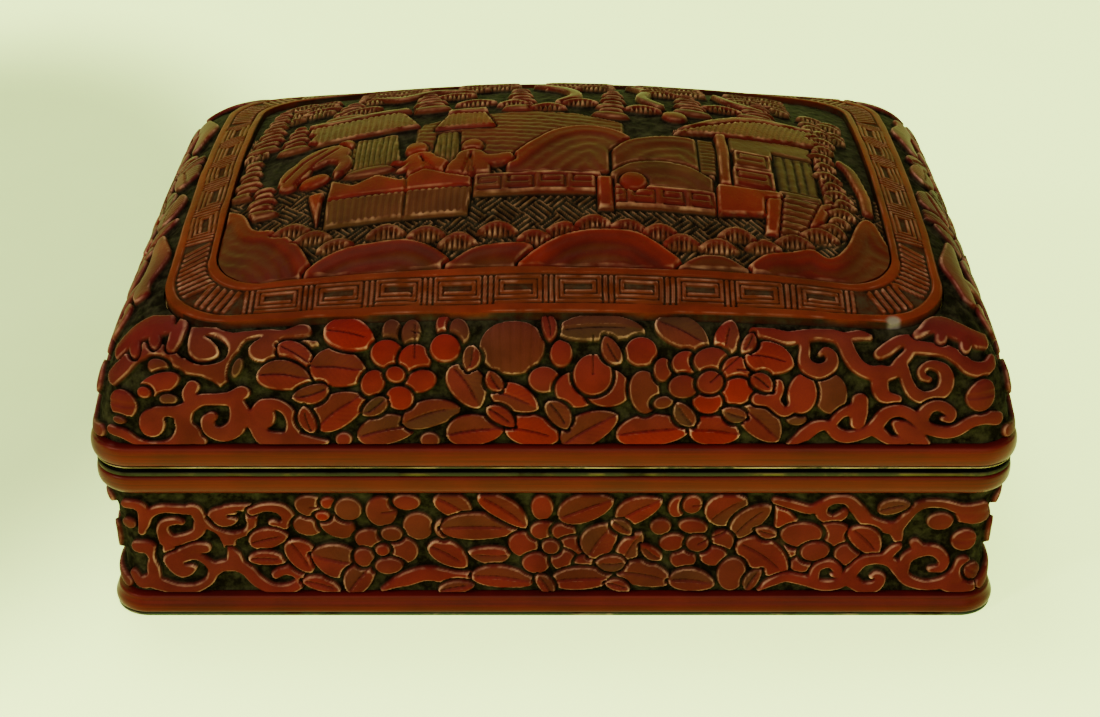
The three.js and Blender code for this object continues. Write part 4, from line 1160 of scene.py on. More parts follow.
def figure(x: float, y: float, lean: float, arm: float, tone: float = 0.3) -> list[Motif]:
    """Small robed figure without a face, as such gardens have.

    Args:
        x: middle of the robe's foot.
        y: its foot.
        lean: how far the head stands to the right of the foot.
        arm: how far the sleeve reaches to the right.
        tone: brightness of the lacquer.

    Returns:
        The head, the robe with its sleeve, and the robe's folds.
    """
    chest = (x + lean * 0.7, y + 6.6)
    sleeve = (chest, (chest[0] + arm * 0.6, chest[1] - 0.9), (chest[0] + arm, chest[1] - 0.2))
    robe = (Boss(x, y + 3.2, 7.4, 8), Boss(*chest, 5.2, 5), Stem(sleeve, 2.5, (1, 0.9)))
    folds = [Groove(((chest[0], chest[1] + 1.4), (x + shift * 0.4, y + 3.6), (x + shift, y + 0.2)), 0.3, 0.3)
             for shift in (-1.6, 0.2, 1.9)]
    head = Boss(x + lean * 1.1, y + 10.9, 3.9, 4.1, tone=tone)
    return [head, Web(robe, tone), *folds]


# Garden scene, in millimetres to the right of the middle of the lid's top, and away from the viewer
SCENE: list[Motif] = [
    Diaper(-12), *pine(-46, 18, 13, 12), *pine(-30, 21, 15, 13), *pine(-12, 22, 13, 13), *pine(5, 21, 14, 14),
    *pine(22, 22, 14, 13), *pine(38, 18, 13, 13), *pine(49, 8, 9, 12), *pine(-53, 2, 5, 10),
    *rock(-52, 4, 27, 5.5, 1), *rock(-38, 11, 22, 6.4, 1), *rock(-22, 8, 20, 6, -1), *rock(-6, 5, 19, 5.6),
    *rock(10, 2, 18, 5.4, 1), *rock(25, 7, 20, 6, -1), *rock(37, 10, 21, 6.4, 1),
    Stem(((-34, 24), (-28, 19.6), (-22, 23), (-15, 19.4)), 2.2, (0.5, 0.5)),
    Stem(((-3, 24), (2, 19), (4, 13.6), (1, 9)), 2.4, (0.6, 0.8)),
    Stem(((14, 25), (17, 20), (16, 14), (19, 9.6)), 2.2, (0.5, 0.9)),
    Stem(((30, 24), (33, 19), (38, 16)), 2.2, (0.6, 0.6)),
    Slab(((-24, -14), (-24, 1), (-16, 4), (-6, 4.4), (4, 3.4), (12, 0), (12, -14)), 0.5, -0.25, ribs=1.5, turn=80,
        cut=0.08),
    Boss(21.5, 4.8, 4.6, 4.2, 0, 0.1),
    *(Comb(x, y, wide) for x, y, wide in ((-14, 10.4, 8), (-1, 6.4, 7), (4.6, 9.4, 7), (-7.4, 8.8, 6), (16, 7.4, 7),
        (-35, 15, 8), (-43, 21.6, 8), (30.6, 13.4, 8), (20, 20, 8), (-18, 17, 8))),
    Slab(((-47.6, 0.4), (-23.6, 0.6), (-27, 8.6), (-31, 10), (-43, 10), (-45.6, 7.6)), 0.9, 0.1, ribs=1.05),
    Slab(((-46.4, 9), (-25.4, 9), (-26.4, 10.6), (-45.4, 10.6)), 1, 0),
    Slab(((-20.8, -1.6), (-10.2, -1.6), (-12.6, 5.6), (-18.2, 5.6)), 0.9, 0.1, ribs=0.95),
    Slab(((-19, 4.8), (-11.6, 4.8), (-12, 6.2), (-18.6, 6.2)), 1, 0),
    Slab(((-35.6, -12.6), (-26, -12.6), (-27.6, -1.4), (-35.6, -1.2)), 0.6, -0.8, ribs=0.95, cut=0.3),
    Slab(((-21, -13), (-16.4, -13), (-16.6, -3), (-20, -3)), 0.6, -0.8, ribs=0.95, cut=0.3),
    Dune(((-8, -13.6), (-4, -8.6), (0, -4.6), (5, -2.6), (10, -3.6), (14, -7), (16, -11)), -17.4, 0.45, 0.95, 2.4),
    Dune(((10, -11), (13, -7.4), (18, -5), (24, -4.8), (27.4, -8)), -19.6, 0.35, 0.95, 1.8),
    Dune(((9.6, -17.4), (13, -14.4), (18, -13.2), (23, -14), (27, -17)), -20.2, -0.3, 0.8, 1),
    Slab(((25, -4), (28, -4), (28, -15), (25, -15)), 0.5, -0.6, ribs=1.1, turn=90),
    Slab(((28.2, 0.6), (47.2, 0.6), (47.2, -18.6), (28.2, -18.6)), 0.62, -0.5), *railing(31, 37.4, -12.2, -6.8, -0.2),
    *railing(30.6, 37.6, -18.2, -12.6, 0.1),
    Slab(((38.4, -4.6), (45, -4.6), (45, -16.4), (38.4, -16.4)), 0.4, -0.9, ribs=1.6, cut=0.2),
    Slab(((28.2, -1), (30.1, -1), (30.1, -18.4), (28.2, -18.4)), 1, 0.3),
    Slab(((45.8, 1), (47.3, 1), (47.3, -18.4), (45.8, -18.4)), 1, 0.1),
    Slab(((20.8, -3), (27.6, 3.6), (32.6, 7.4), (38, 9.4), (47, 9.6), (50, 4.6), (48.6, 2.8), (38, 0.2), (30, -1.2)),
        1, 0.1, ribs=0.95, turn=-14),
    Slab(((20.6, -2.2), (27.4, 3.8), (32.6, 8), (38, 10), (47, 10.2), (47, 9), (38, 8.4), (33, 6.4), (28.4, 2.6)),
        1.05, 0.2),
    Boss(-36.6, -2.4, 3.6, 3.8, tone=0.3),
    Web((
        Boss(-41, -5.4, 9, 5, 32), Boss(-44.8, -10.4, 5, 8.4, -14), Boss(-37.6, -5.6, 4.4, 4.4),
        Stem(((-38, -6), (-36, -9), (-37.4, -12.4)), 2.4),
    ), 0.2),
    Groove(((-37.8, -4), (-41.4, -7.2), (-44.6, -13.6)), 0.3, 0.3),
    Groove(((-40, -3.6), (-43.8, -6.8), (-46.4, -12)), 0.3, 0.3), Boss(-41, -13.4, 5.2, 3.6, 20, 0.6),
    *figure(-21.2, -19, -2.2, -4.4, 0.3), *figure(-14.6, -19.6, 0.6, 6.2, 0.2), Boss(-31.6, -13.4, 9.2, 2.6, 4, -0.1),
    Slab(((-38.2, -26.8), (-14.2, -26.8), (-13.8, -20), (-14, -18.2), (-18, -17.4), (-22, -15.4), (-26, -17.8),
        (-30, -15.6), (-34, -17.6), (-38, -15.2)), 0.92, -0.35, ribs=1.15),
    Slab(((-38, -20.4), (-14, -20.4), (-14, -18.4), (-18, -17.2), (-22, -15.2), (-26, -17.4), (-30, -15.2),
        (-34, -17.4), (-38, -15)), 1, 0.35, gap=0.15),
    Groove(((-25, -16), (-25, -26.6)), 0.5), Slab(((-41.4, -18), (-38.8, -18), (-39.6, -26)), tone=0.5),
    *railing(-13.4, 8, -22.6, -17.9, 0), *railing(8, 27.2, -25.6, -20.9, 0.05),
    Slab(((7.4, -19), (9.8, -19), (9.8, -26.2), (7.4, -26.2)), tone=0.3), Boss(13.4, -19.4, 4.6, 4.6, 0, 0.3),
    Slab(((27.6, -18.5), (38.6, -17.9), (38.4, -20.2), (36, -24.6), (27.3, -25.7)), 0.97, 0.45),
    Slab(((38.6, -19), (44.8, -18.4), (42.4, -28), (37, -29.2)), 0.9, -0.2, ribs=1.7, turn=82, cut=0.4),
    Slab(((35.8, -20.2), (38.3, -19.6), (36.9, -29.2), (34.8, -28.9)), 1, 0.5, gap=0.15),
    Slab(((44.8, -19.2), (47, -18.1), (43.4, -28.6), (41.6, -28.2)), 1, 0.3, gap=0.15),
    *strand(((48.6, 10.2), (47.9, 2.2), (47.4, -5.4), (47.9, -12.3), (49, -17.4), (47.5, -23.1), (44.8, -27.9)), 5),
    Stem(((50.6, -2), (52.3, -5), (53.2, -12), (53.2, -18)), 2.2, (0.7, 0.9), 0.2, gap=0.3), *rock(-53, -14, 0, 5),
    *rock(-49.8, -21, -12, 5.6), *rock(-46.2, 0, 12, 5.2),
    Dune(((-55.6, -16.7), (-52.3, -19.4), (-50, -24.5), (-46.3, -26.1), (-41.6, -31), (-39, -36)), -37.9, 0.5,
        flank=3.2),
    *(Comb(x, y) for x, y in ((-43.6, -26.4), (-39.6, -28.9), (-35.4, -31.6), (-21, -30.6), (-27.6, -29.6),
        (1.8, -30.8), (6.6, -29.2), (-9.2, -30.6), (-15.7, -32.6), (-3, -32.4), (12, -29.9), (17.4, -30.6),
        (20.8, -32.6), (39.6, -29.9), (34.4, -32), (26.8, -33), (43.8, -27.4), (30, -30))),
    Dune(((31, -37), (34.3, -33.9), (38.5, -32.7), (42.4, -31.4), (45.1, -32.8), (48.4, -28.8), (51.4, -21.6),
        (54, -21.6), (55.6, -27)), -37.9, 0.55, flank=2),
    Dune(((-40.4, -37), (-38.4, -34.9), (-34.1, -32.6), (-28, -31.9), (-23.5, -32), (-19.7, -33.8), (-16.4, -36.6)),
        -37.9, 0.6),
    Dune(((-17.6, -37.4), (-13.6, -34.6), (-8.7, -33.7), (-4, -33.8), (-1.6, -36)), -37.9, 0.5, flank=1.2),
    Dune(((-6, -37.4), (-2.3, -34.4), (1.8, -32), (7, -30.8), (12.8, -31), (16.6, -33), (21.8, -37.2)), -37.9, 0.7,
        flank=1.9),
    Dune(((20, -37.6), (23.6, -35.3), (27.8, -35.3), (31.6, -37.5)), -37.9, 0.3, flank=1),
]


# ---- Surfaces of the box ----


# How finely a face is laid out: steps along a long side, along a short side, and in half a corner
CARVED_STEPS = (650, 430, 36)
PLAIN_STEPS = (150, 100, 12)
LINING_STEPS = (80, 56, 8)
# Gap between two pieces of the carved coat, in millimetres
SEAM = 0.3


@dataclass(frozen=True)
class Outline:
    """Places round a rounded rectangle: front, right, back and left, each from corner middle to corner middle.

    Args:
        side: which side each place is on.
        run: share along the straight part, from -1 to 1.
        turn: angle into the corner at either end.
    """

    side: Array
    run: Array
    turn: Array

    @classmethod
    def round_box(cls, long_steps: int, short_steps: int, corner_steps: int) -> "Outline":
        """Spreads places round the box; two sides share the place at a corner's middle.

        Args:
            long_steps: steps along the front.
            short_steps: steps along a short side.
            corner_steps: steps in half a corner.

        Returns:
            All places, side by side.
        """
        into = np.linspace(0, math.pi / 4, corner_steps + 1)[1:]
        sides, runs, turns = [], [], []
        for side, steps in enumerate((long_steps, short_steps) * 2):
            run = np.concatenate([-np.ones(corner_steps), np.linspace(-1, 1, steps + 1), np.ones(corner_steps)])
            runs.append(run)
            turns.append(np.concatenate([-into[::-1], np.zeros(steps + 1), into]))
            sides.append(np.full(run.size, side))
        return cls(np.concatenate(sides), np.concatenate(runs), np.concatenate(turns))

    def closed(self) -> "Outline":
        """Gives the same places with each corner's middle only once."""
        once = np.flatnonzero(np.append(self.side[1:] == self.side[:-1], False))
        return Outline(self.side[once], self.run[once], self.turn[once])

    def place(self, half_x: Array, half_y: Array, corner: Array) -> tuple[Array, Array]:
        """Puts the places on a rounded rectangle.

        Args:
            half_x: half its length.
            half_y: half its width.
            corner: its corner radius.

        Returns:
            Millimetres to the right and away from the viewer.
        """
        long = self.side % 2 == 0
        along = self.run * (np.where(long, half_x, half_y) - corner) + corner * np.sin(self.turn)
        across = np.where(long, half_y, half_x) - corner + corner * np.cos(self.turn)
        cos, sin = np.round(np.cos(self.side * math.pi / 2)), np.round(np.sin(self.side * math.pi / 2))
        return along * cos + across * sin, along * sin - across * cos

    def drawn(self, half_x: Array, half_y: Array, corner: Array) -> tuple[Array, Array]:
        """Measures along each side from its middle.

        Args:
            half_x: half the rectangle's length.
            half_y: half its width.
            corner: its corner radius.

        Returns:
            Each place's length from its side's middle, and half the length of that side.
        """
        straight = np.where(self.side % 2 == 0, half_x, half_y) - corner
        return self.run * straight + corner * self.turn, straight + corner * math.pi / 4


@dataclass(frozen=True)
class BoxForm:
    """Main sizes of the box in millimetres, the same as the CAD part's.

    Args:
        half_long: half its length at the rim.
        half_wide: half its width there.
        corner: corner radius there.
        lid_edge: height of the lid's lower edge.
        shoulder: rise of the lid's shoulder.
        fullness: how square the shoulder's arch is.
        crown: rise of the low crown over the whole lid.
        top_long: half the length of the fret border's outer edge.
        top_wide: half its width.
        top_corner: its corner radius.
        scene_corner: corner radius of the garden scene.
        band: width of the fret border.
        relief: depth of the carving.
        coat: thickness of the carved lacquer.
    """

    half_long: float = 76.0
    half_wide: float = 52.0
    corner: float = 7.0
    lid_edge: float = 30.2
    shoulder: float = 22.4
    fullness: float = 2.2
    crown: float = 17.4
    top_long: float = 63.8
    top_wide: float = 46.3
    top_corner: float = 11.6
    scene_corner: float = 9.0
    band: float = 8.0
    relief: float = 1.3
    coat: float = 2.4

    def crown_at(self, x: Array, y: Array) -> Array:
        """Rise of the low crown at a place."""
        return self.crown * (1 - (x / self.half_long) ** 2) * (1 - (y / self.half_wide) ** 2)

    def angle_at(self, height: float, depth: float = 0.0) -> float:
        """Angle of a layer's arch at a height over the lid's edge."""
        return math.asin((height / (self.shoulder - depth)) ** (self.fullness / 2))

    def shoulder_halves(self, angle: Array) -> tuple[Array, Array, Array]:
        """Half length, half width and corner radius of the shoulder at an angle of its arch."""
        inward = np.cos(angle) ** (2 / self.fullness)
        return (self.half_long - (self.half_long - self.top_long) * (1 - inward),
                self.half_wide - (self.half_wide - self.top_wide) * (1 - inward),
                self.top_corner + (self.corner - self.top_corner) * inward)

    def shoulder_points(self, outline: Outline, angle: Array, depth: Array | float) -> Array:
        """Points of the shoulder or of a layer under it.

        Args:
            outline: places round the box.
            angle: angle of the arch, 0 at the rim, one to a row.
            depth: how far under the finished face.

        Returns:
            Points in millimetres, rows by places by three.
        """
        angle = np.minimum(angle, math.pi / 2)[:, None]
        inward = np.maximum(np.cos(angle), 0) ** (2 / self.fullness)
        half_x, half_y, corner = self.shoulder_halves(angle)
        x, y = outline.place(half_x, half_y, corner)
        sunk = depth * inward
        in_x, in_y = outline.place(half_x - sunk, half_y - sunk, corner - sunk)
        z = self.lid_edge + (self.shoulder - depth) * np.sin(angle) ** (2 / self.fullness) + self.crown_at(x, y)
        return np.stack(np.broadcast_arrays(in_x, in_y, z), axis=-1)

    def border_halves(self, inset: Array) -> tuple[Array, Array, Array]:
        """Half length, half width and corner radius of the border at an inset from its outer edge."""
        return (self.top_long - inset, self.top_wide - inset,
                self.top_corner + (self.scene_corner - self.top_corner) * inset / self.band)

    def top_points(self, x: Array, y: Array, depth: Array | float) -> Array:
        """Points of the lid's top at the places given."""
        z = self.lid_edge + self.shoulder - depth + self.crown_at(x, y)
        return np.stack(np.broadcast_arrays(x, y, z), axis=-1)

    def wall_points(self, outline: Outline, inset: Array, z: Array) -> Array:
        """Points of the base's wall at an inset and a height."""
        x, y = outline.place(self.half_long - inset, self.half_wide - inset, self.corner - inset)
        return np.stack(np.broadcast_arrays(x, y, z), axis=-1)


# ---- Meshes ----


def blurred(values: Array, reach: int) -> Array:
    """Averages each value with its neighbours.

    Args:
        values: rows by columns.
        reach: how many neighbours on each side.

    Returns:
        The averages.
    """
    size = 2 * reach + 1
    padded = np.pad(values.astype(np.float64), reach + 1, mode="edge").cumsum(axis=0).cumsum(axis=1)
    window = padded[size:, size:] - padded[:-size, size:] - padded[size:, :-size] + padded[:-size, :-size]
    return (window[: values.shape[0], : values.shape[1]] / size**2).astype(np.float32)


def grid_quads(rows: int, columns: int, closed: bool = False, ring: bool = False) -> Array:
    """Numbers the corners of each cell of a grid.

    Args:
        rows: rows of points.
        columns: points in a row.
        closed: whether each row joins up into a loop.
        ring: whether the last row joins the first.

    Returns:
        Four point numbers to a cell.
    """
    number = np.arange(rows * columns).reshape(rows, columns)
    if closed:
        number = np.hstack([number, number[:, :1]])
    if ring:
        number = np.vstack([number, number[:1]])
    low, high = number[:-1], number[1:]
    return np.stack([low[:, :-1], low[:, 1:], high[:, 1:], high[:, :-1]], axis=-1).reshape(-1, 4)


def make_mesh(name: str, points: Array, quads: Array, carving: Array | None = None) -> bpy.types.Object:
    """Makes a smooth-shaded piece out of points and four-cornered faces.

    Args:
        name: the piece's name.
        points: its points in millimetres.
        quads: four point numbers to a face.
        carving: height, tone, edge and chip of the carving at each point; the edge value drives worn edges with painted
            highlights and hollows darkened with painted shade.

    Returns:
        The piece, in the scene.
    """
    mesh = bpy.data.meshes.new(name)
    mesh.vertices.add(len(points))
    mesh.vertices.foreach_set("co", (points * MM).astype(np.float32).ravel())
    mesh.loops.add(quads.size)
    mesh.loops.foreach_set("vertex_index", quads.astype(np.int32).ravel())
    mesh.polygons.add(len(quads))
    mesh.polygons.foreach_set("loop_start", np.arange(0, quads.size, 4, dtype=np.int32))
    mesh.polygons.foreach_set("use_smooth", np.ones(len(quads), bool))
    if carving is not None:
        layer = mesh.attributes.new("carving", "FLOAT_COLOR", "POINT")
        layer.data.foreach_set("color", carving.astype(np.float32).ravel())
    mesh.update(calc_edges=True)
    piece = bpy.data.objects.new(name, mesh)
    bpy.context.scene.collection.objects.link(piece)
    return piece


def skirted(points: Array, back: Array, quads: Array, carving: Array) -> tuple[Array, Array, Array]:
    """Adds the cut edges of the lacquer coat round a carved face.

    Args:
        points: points of the face.
        back: the same points at the back of the coat.
        quads: the face's cells.
        carving: the carving's values at each point.

    Returns:
        All points, all cells and all values.
    """
    edges = np.concatenate([quads[:, [i, (i + 1) % 4]] for i in range(4)])
    keys = np.sort(edges, axis=1)
    numbers = keys[:, 0] * np.int64(len(points)) + keys[:, 1]
    _, first, count = np.unique(numbers, return_index=True, return_counts=True)
    rim = edges[first[count == 1]]
    used, place = np.unique(rim, return_inverse=True)
    place = place.reshape(rim.shape) + len(points)
    sides = np.stack([place[:, 1], place[:, 0], place[:, 0] + used.size, place[:, 1] + used.size], axis=-1)
    # The foot of the cut edge is bare ground, neither worn and lit as an edge nor darkened with painted shade as a
    # corner
    low = carving[used].copy()
    low[:, 0], low[:, 2] = 0, 0.5
    return (np.vstack([points, points[used], back[used]]), np.vstack([quads, sides]),
            np.vstack([carving, carving[used], low]))


def make_hoop(name: str, rows: Array) -> bpy.types.Object:
    """Makes a piece that runs round the box and closes on itself.

    Args:
        name: the piece's name.
        rows: rows of points round the box, over the piece's outside and back along its inside.

    Returns:
        The piece, in the scene.
    """
    return make_mesh(name, rows.reshape(-1, 3), grid_quads(*rows.shape[:2], closed=True, ring=True))


@dataclass
class CarvedBand:
    """Carved coat that runs round the box without a seam, laid out as rows from its foot up.

    Args:
        outline: places round the box.
        x: each point's length from the middle of its side.
        half: half the length of its side at that height.
        up: each row's place up the drawing.
        seed: which small unevenness it has.
    """

    outline: Outline
    x: Array
    half: Array
    up: Array
    seed: int
    height: Array = field(init=False)
    tone: Array = field(init=False)
    clear: Array = field(init=False)

    def __post_init__(self) -> None:
        """Starts with bare ground."""
        blank = Panel.blank(self.x, self.x)
        self.height, self.tone, self.clear = blank.height, blank.tone, blank.clear

    def carve_side(self, side: int, motifs: Sequence[Motif], leafy: float = 0.0) -> None:
        """Carves one side, a little way round both its corners.

        Args:
            side: which side.
            motifs: the drawing, oldest form first.
            leafy: how far from its middle bare ground is filled with leaf tips.
        """
        own = np.flatnonzero(self.outline.side == side)
        # The work goes on for this many columns past each corner's middle
        reach, total = 44, self.outline.side.size
        before = (own[0] - reach + np.arange(reach)) % total
        after = (own[-1] + 1 + np.arange(reach)) % total
        columns = np.concatenate([before, own, after])
        half = self.half[:, own[0]][:, None]
        left = self.x[:, before] - self.half[:, before] - half
        right = half + self.x[:, after] + self.half[:, after]
        x = np.hstack([left, self.x[:, own], right])
        y = np.broadcast_to(self.up[:, None], x.shape)
        # The drawing sways by a third of a millimetre, in another way on each side
        noise = np.stack([x, y, np.full(x.shape, 31.0 * side)], axis=-1)
        panel = Panel((x + 0.32 * ripple(noise, 7, self.seed)).astype(np.float32),
                      (y + 0.26 * ripple(noise, 6, self.seed + 1)).astype(np.float32),
                      self.height[:, columns], self.tone[:, columns], self.clear[:, columns])
        for motif in motifs:
            motif.carve(panel)
        foot = np.minimum(panel.y - self.up[0] + 0.3, self.up[-1] - panel.y - 0.5)
        least, most = 1.15, 1.7
        fill_ground(panel, np.minimum(foot, leafy - np.abs(panel.x)), least, most, 0.0, self.seed + side)
        self.height[:, columns], self.tone[:, columns] = panel.height, panel.tone
        self.clear[:, columns] = panel.clear

    def finished(self, spots: Array, rough: float = 0.09) -> tuple[Array, Array]:
        """Adds the knife's and the brush's unevenness, and measures the edges.

        Args:
            spots: points of the finished face.
            rough: unevenness of the ground.

        Returns:
            The heights, and the values that the lacquer's finish reads.
        """
        tops = np.clip(self.height, 0, 1.05)
        # The knife leaves the ground rough every 0.8 mm, and polishing leaves dips in the tops every 2.4 mm
        knifed = rough * ripple(spots, 0.8, self.seed + 2) * (1 - np.clip(tops, 0, 1))
        tops = tops + knifed - 0.03 * ripple(spots, 2.4, self.seed + 3) ** 2
        # An edge stands higher than what is round it; the finish lightens such edges as wear and painted highlight, and
        # darkens hollows with painted shade
        edge = np.clip(0.5 + 1.3 * (tops - blurred(tops, 2)), 0, 1)
        tone = np.clip(0.5 + 0.5 * blurred(self.tone, 1) + 0.1 * ripple(spots, 9, self.seed + 4), 0, 1)
        return tops, np.stack([np.clip(tops, 0, 1), tone, edge, np.zeros_like(tops)], axis=-1)


@dataclass(frozen=True)
class Ridge(Motif):
    """Thin raised line with square turns, as in a fret.

    Args:
        points: the line's path.
        wide: its width.
        tone: brightness of the lacquer.
        level: height of the line.
    """

    points: tuple[Spot, ...]
    wide: float = 0.5
    tone: float = 0.0
    level: float = 0.8

    def carve(self, panel: Panel) -> None:
        """Leaves the line standing.

        Args:
            panel: the panel to work on.
        """
        part = panel.window(*middle_and_reach(self.points, 1.5))
        inside = ribbon(part.x, part.y, self.points, [self.wide] * len(self.points))
        # Only a rail, wider than a millimetre, has a rolled edge
        roll, wall = 0.3 * (self.wide > 1), 0.3 * min(self.wide, 1)
        part.raise_form(inside, self.level, self.tone, gap=0, bed=1, roll=roll, wall=wall)


def fret_border(straight: float, half: float, shift: float, pitch: float = 9.65) -> list[Motif]:
    """Fret of squared spirals between double bars, with plain lines round the corners.

    Args:
        straight: half the length of the border's straight part.
        half: half the length of the side.
        shift: where the first double bar stands.
        pitch: length of one spiral and its bars.

    Returns:
        The fret's lines.
    """
    low, high, step, reach, shade = 2.15, 6.25, 0.8, 3.45, -0.1
    rails, bar_half, bar_room, most = ((1.05, 1.5), (7.35, 1.3)), 0.45, 0.6, 6
    lines: list[Motif] = [Ridge(((-half - 4, y), (half + 4, y)), wide, 0.2, 1.0) for y, wide in rails]
    edge = 0.0
    for number in range(-most, most + 1):
        bar = shift + pitch * number
        if abs(bar) < straight:
            lines += [Ridge(((bar + side, low), (bar + side, high)), tone=shade) for side in (-bar_half, bar_half)]
            edge = max(edge, abs(bar) + bar_room)
        middle = bar + pitch / 2
        if max(abs(bar), abs(bar + pitch)) >= straight:
            continue
        # Every second spiral is turned round
        way = 1 if number % 2 else -1
        corners = ((-reach, low), (reach, low), (reach, high), (-reach, high), (-reach, low + step),
                   (reach - step, low + step), (reach - step, high - step), (step - reach, high - step),
                   (step - reach, low + 2 * step), (reach - 2 * step, low + 2 * step))
        lines.append(Ridge(tuple((middle + way * x, y) for x, y in corners), tone=shade))
    # Slanting lines 1.3 mm apart go round the corners
    line_pitch, slant, line_wide = 1.3, 1.9, 0.66
    for side in (-1, 1):
        for bar in np.arange(edge + 1.2, half - 1.4, line_pitch):
            lines.append(Ridge(((side * bar, high - 0.2), (side * (bar + slant), low + 0.3)), line_wide, shade))
    return lines


# ---- Finishes ----

# A colour mix: its settings, and the numbers of its inputs and of its output
MIX = {"data_type": "RGBA"}
FACTOR, UNDER, OVER, MIXED = 0, 6, 7, 2
# Light on red lacquer comes back warm, because the skin is clear and the pigment lies just under it
WARM_TINT = 0xFFC79A


def add_node(tree: bpy.types.NodeTree, kind: str, settings: dict[str, object] | None = None,
             links: dict[str | int, object] | None = None,
             stops: Sequence[tuple[float, object]] = ()) -> bpy.types.Node:
    """Adds a node with its settings and links.

    Args:
        tree: the node tree.
        kind: the node's type.
        settings: its own settings.
        links: a socket to link or a value to set, for each of its inputs.
        stops: places and colours of a ramp.

    Returns:
        The node.
    """
    node = tree.nodes.new(kind)
    for key, value in (settings or {}).items():
        setattr(node, key, value)
    for key, value in (links or {}).items():
        if isinstance(value, bpy.types.NodeSocket):
            tree.links.new(value, node.inputs[key])
        else:
            node.inputs[key].default_value = value
    for number, (place, colour) in enumerate(stops):
        elements = node.color_ramp.elements
        element = elements[number] if number < 2 else elements.new(place)
        element.position = place
        element.color = linear(colour) if isinstance(colour, int) else (colour, colour, colour, 1)
    return node


def start_material(name: str) -> tuple[bpy.types.Material, bpy.types.NodeTree, bpy.types.NodeSocket]:
    """Starts a material.

    Args:
        name: the material's name.

    Returns:
        The material, its empty tree, and places on the object in millimetres.
    """
    material = bpy.data.materials.new(name)
    material.use_nodes = True
    tree = material.node_tree
    tree.nodes.clear()
    place = add_node(tree, "ShaderNodeTexCoord").outputs["Object"]
    sized = add_node(tree, "ShaderNodeMapping", links={"Vector": place, "Scale": (1 / MM,) * 3})
    return material, tree, sized.outputs["Vector"]


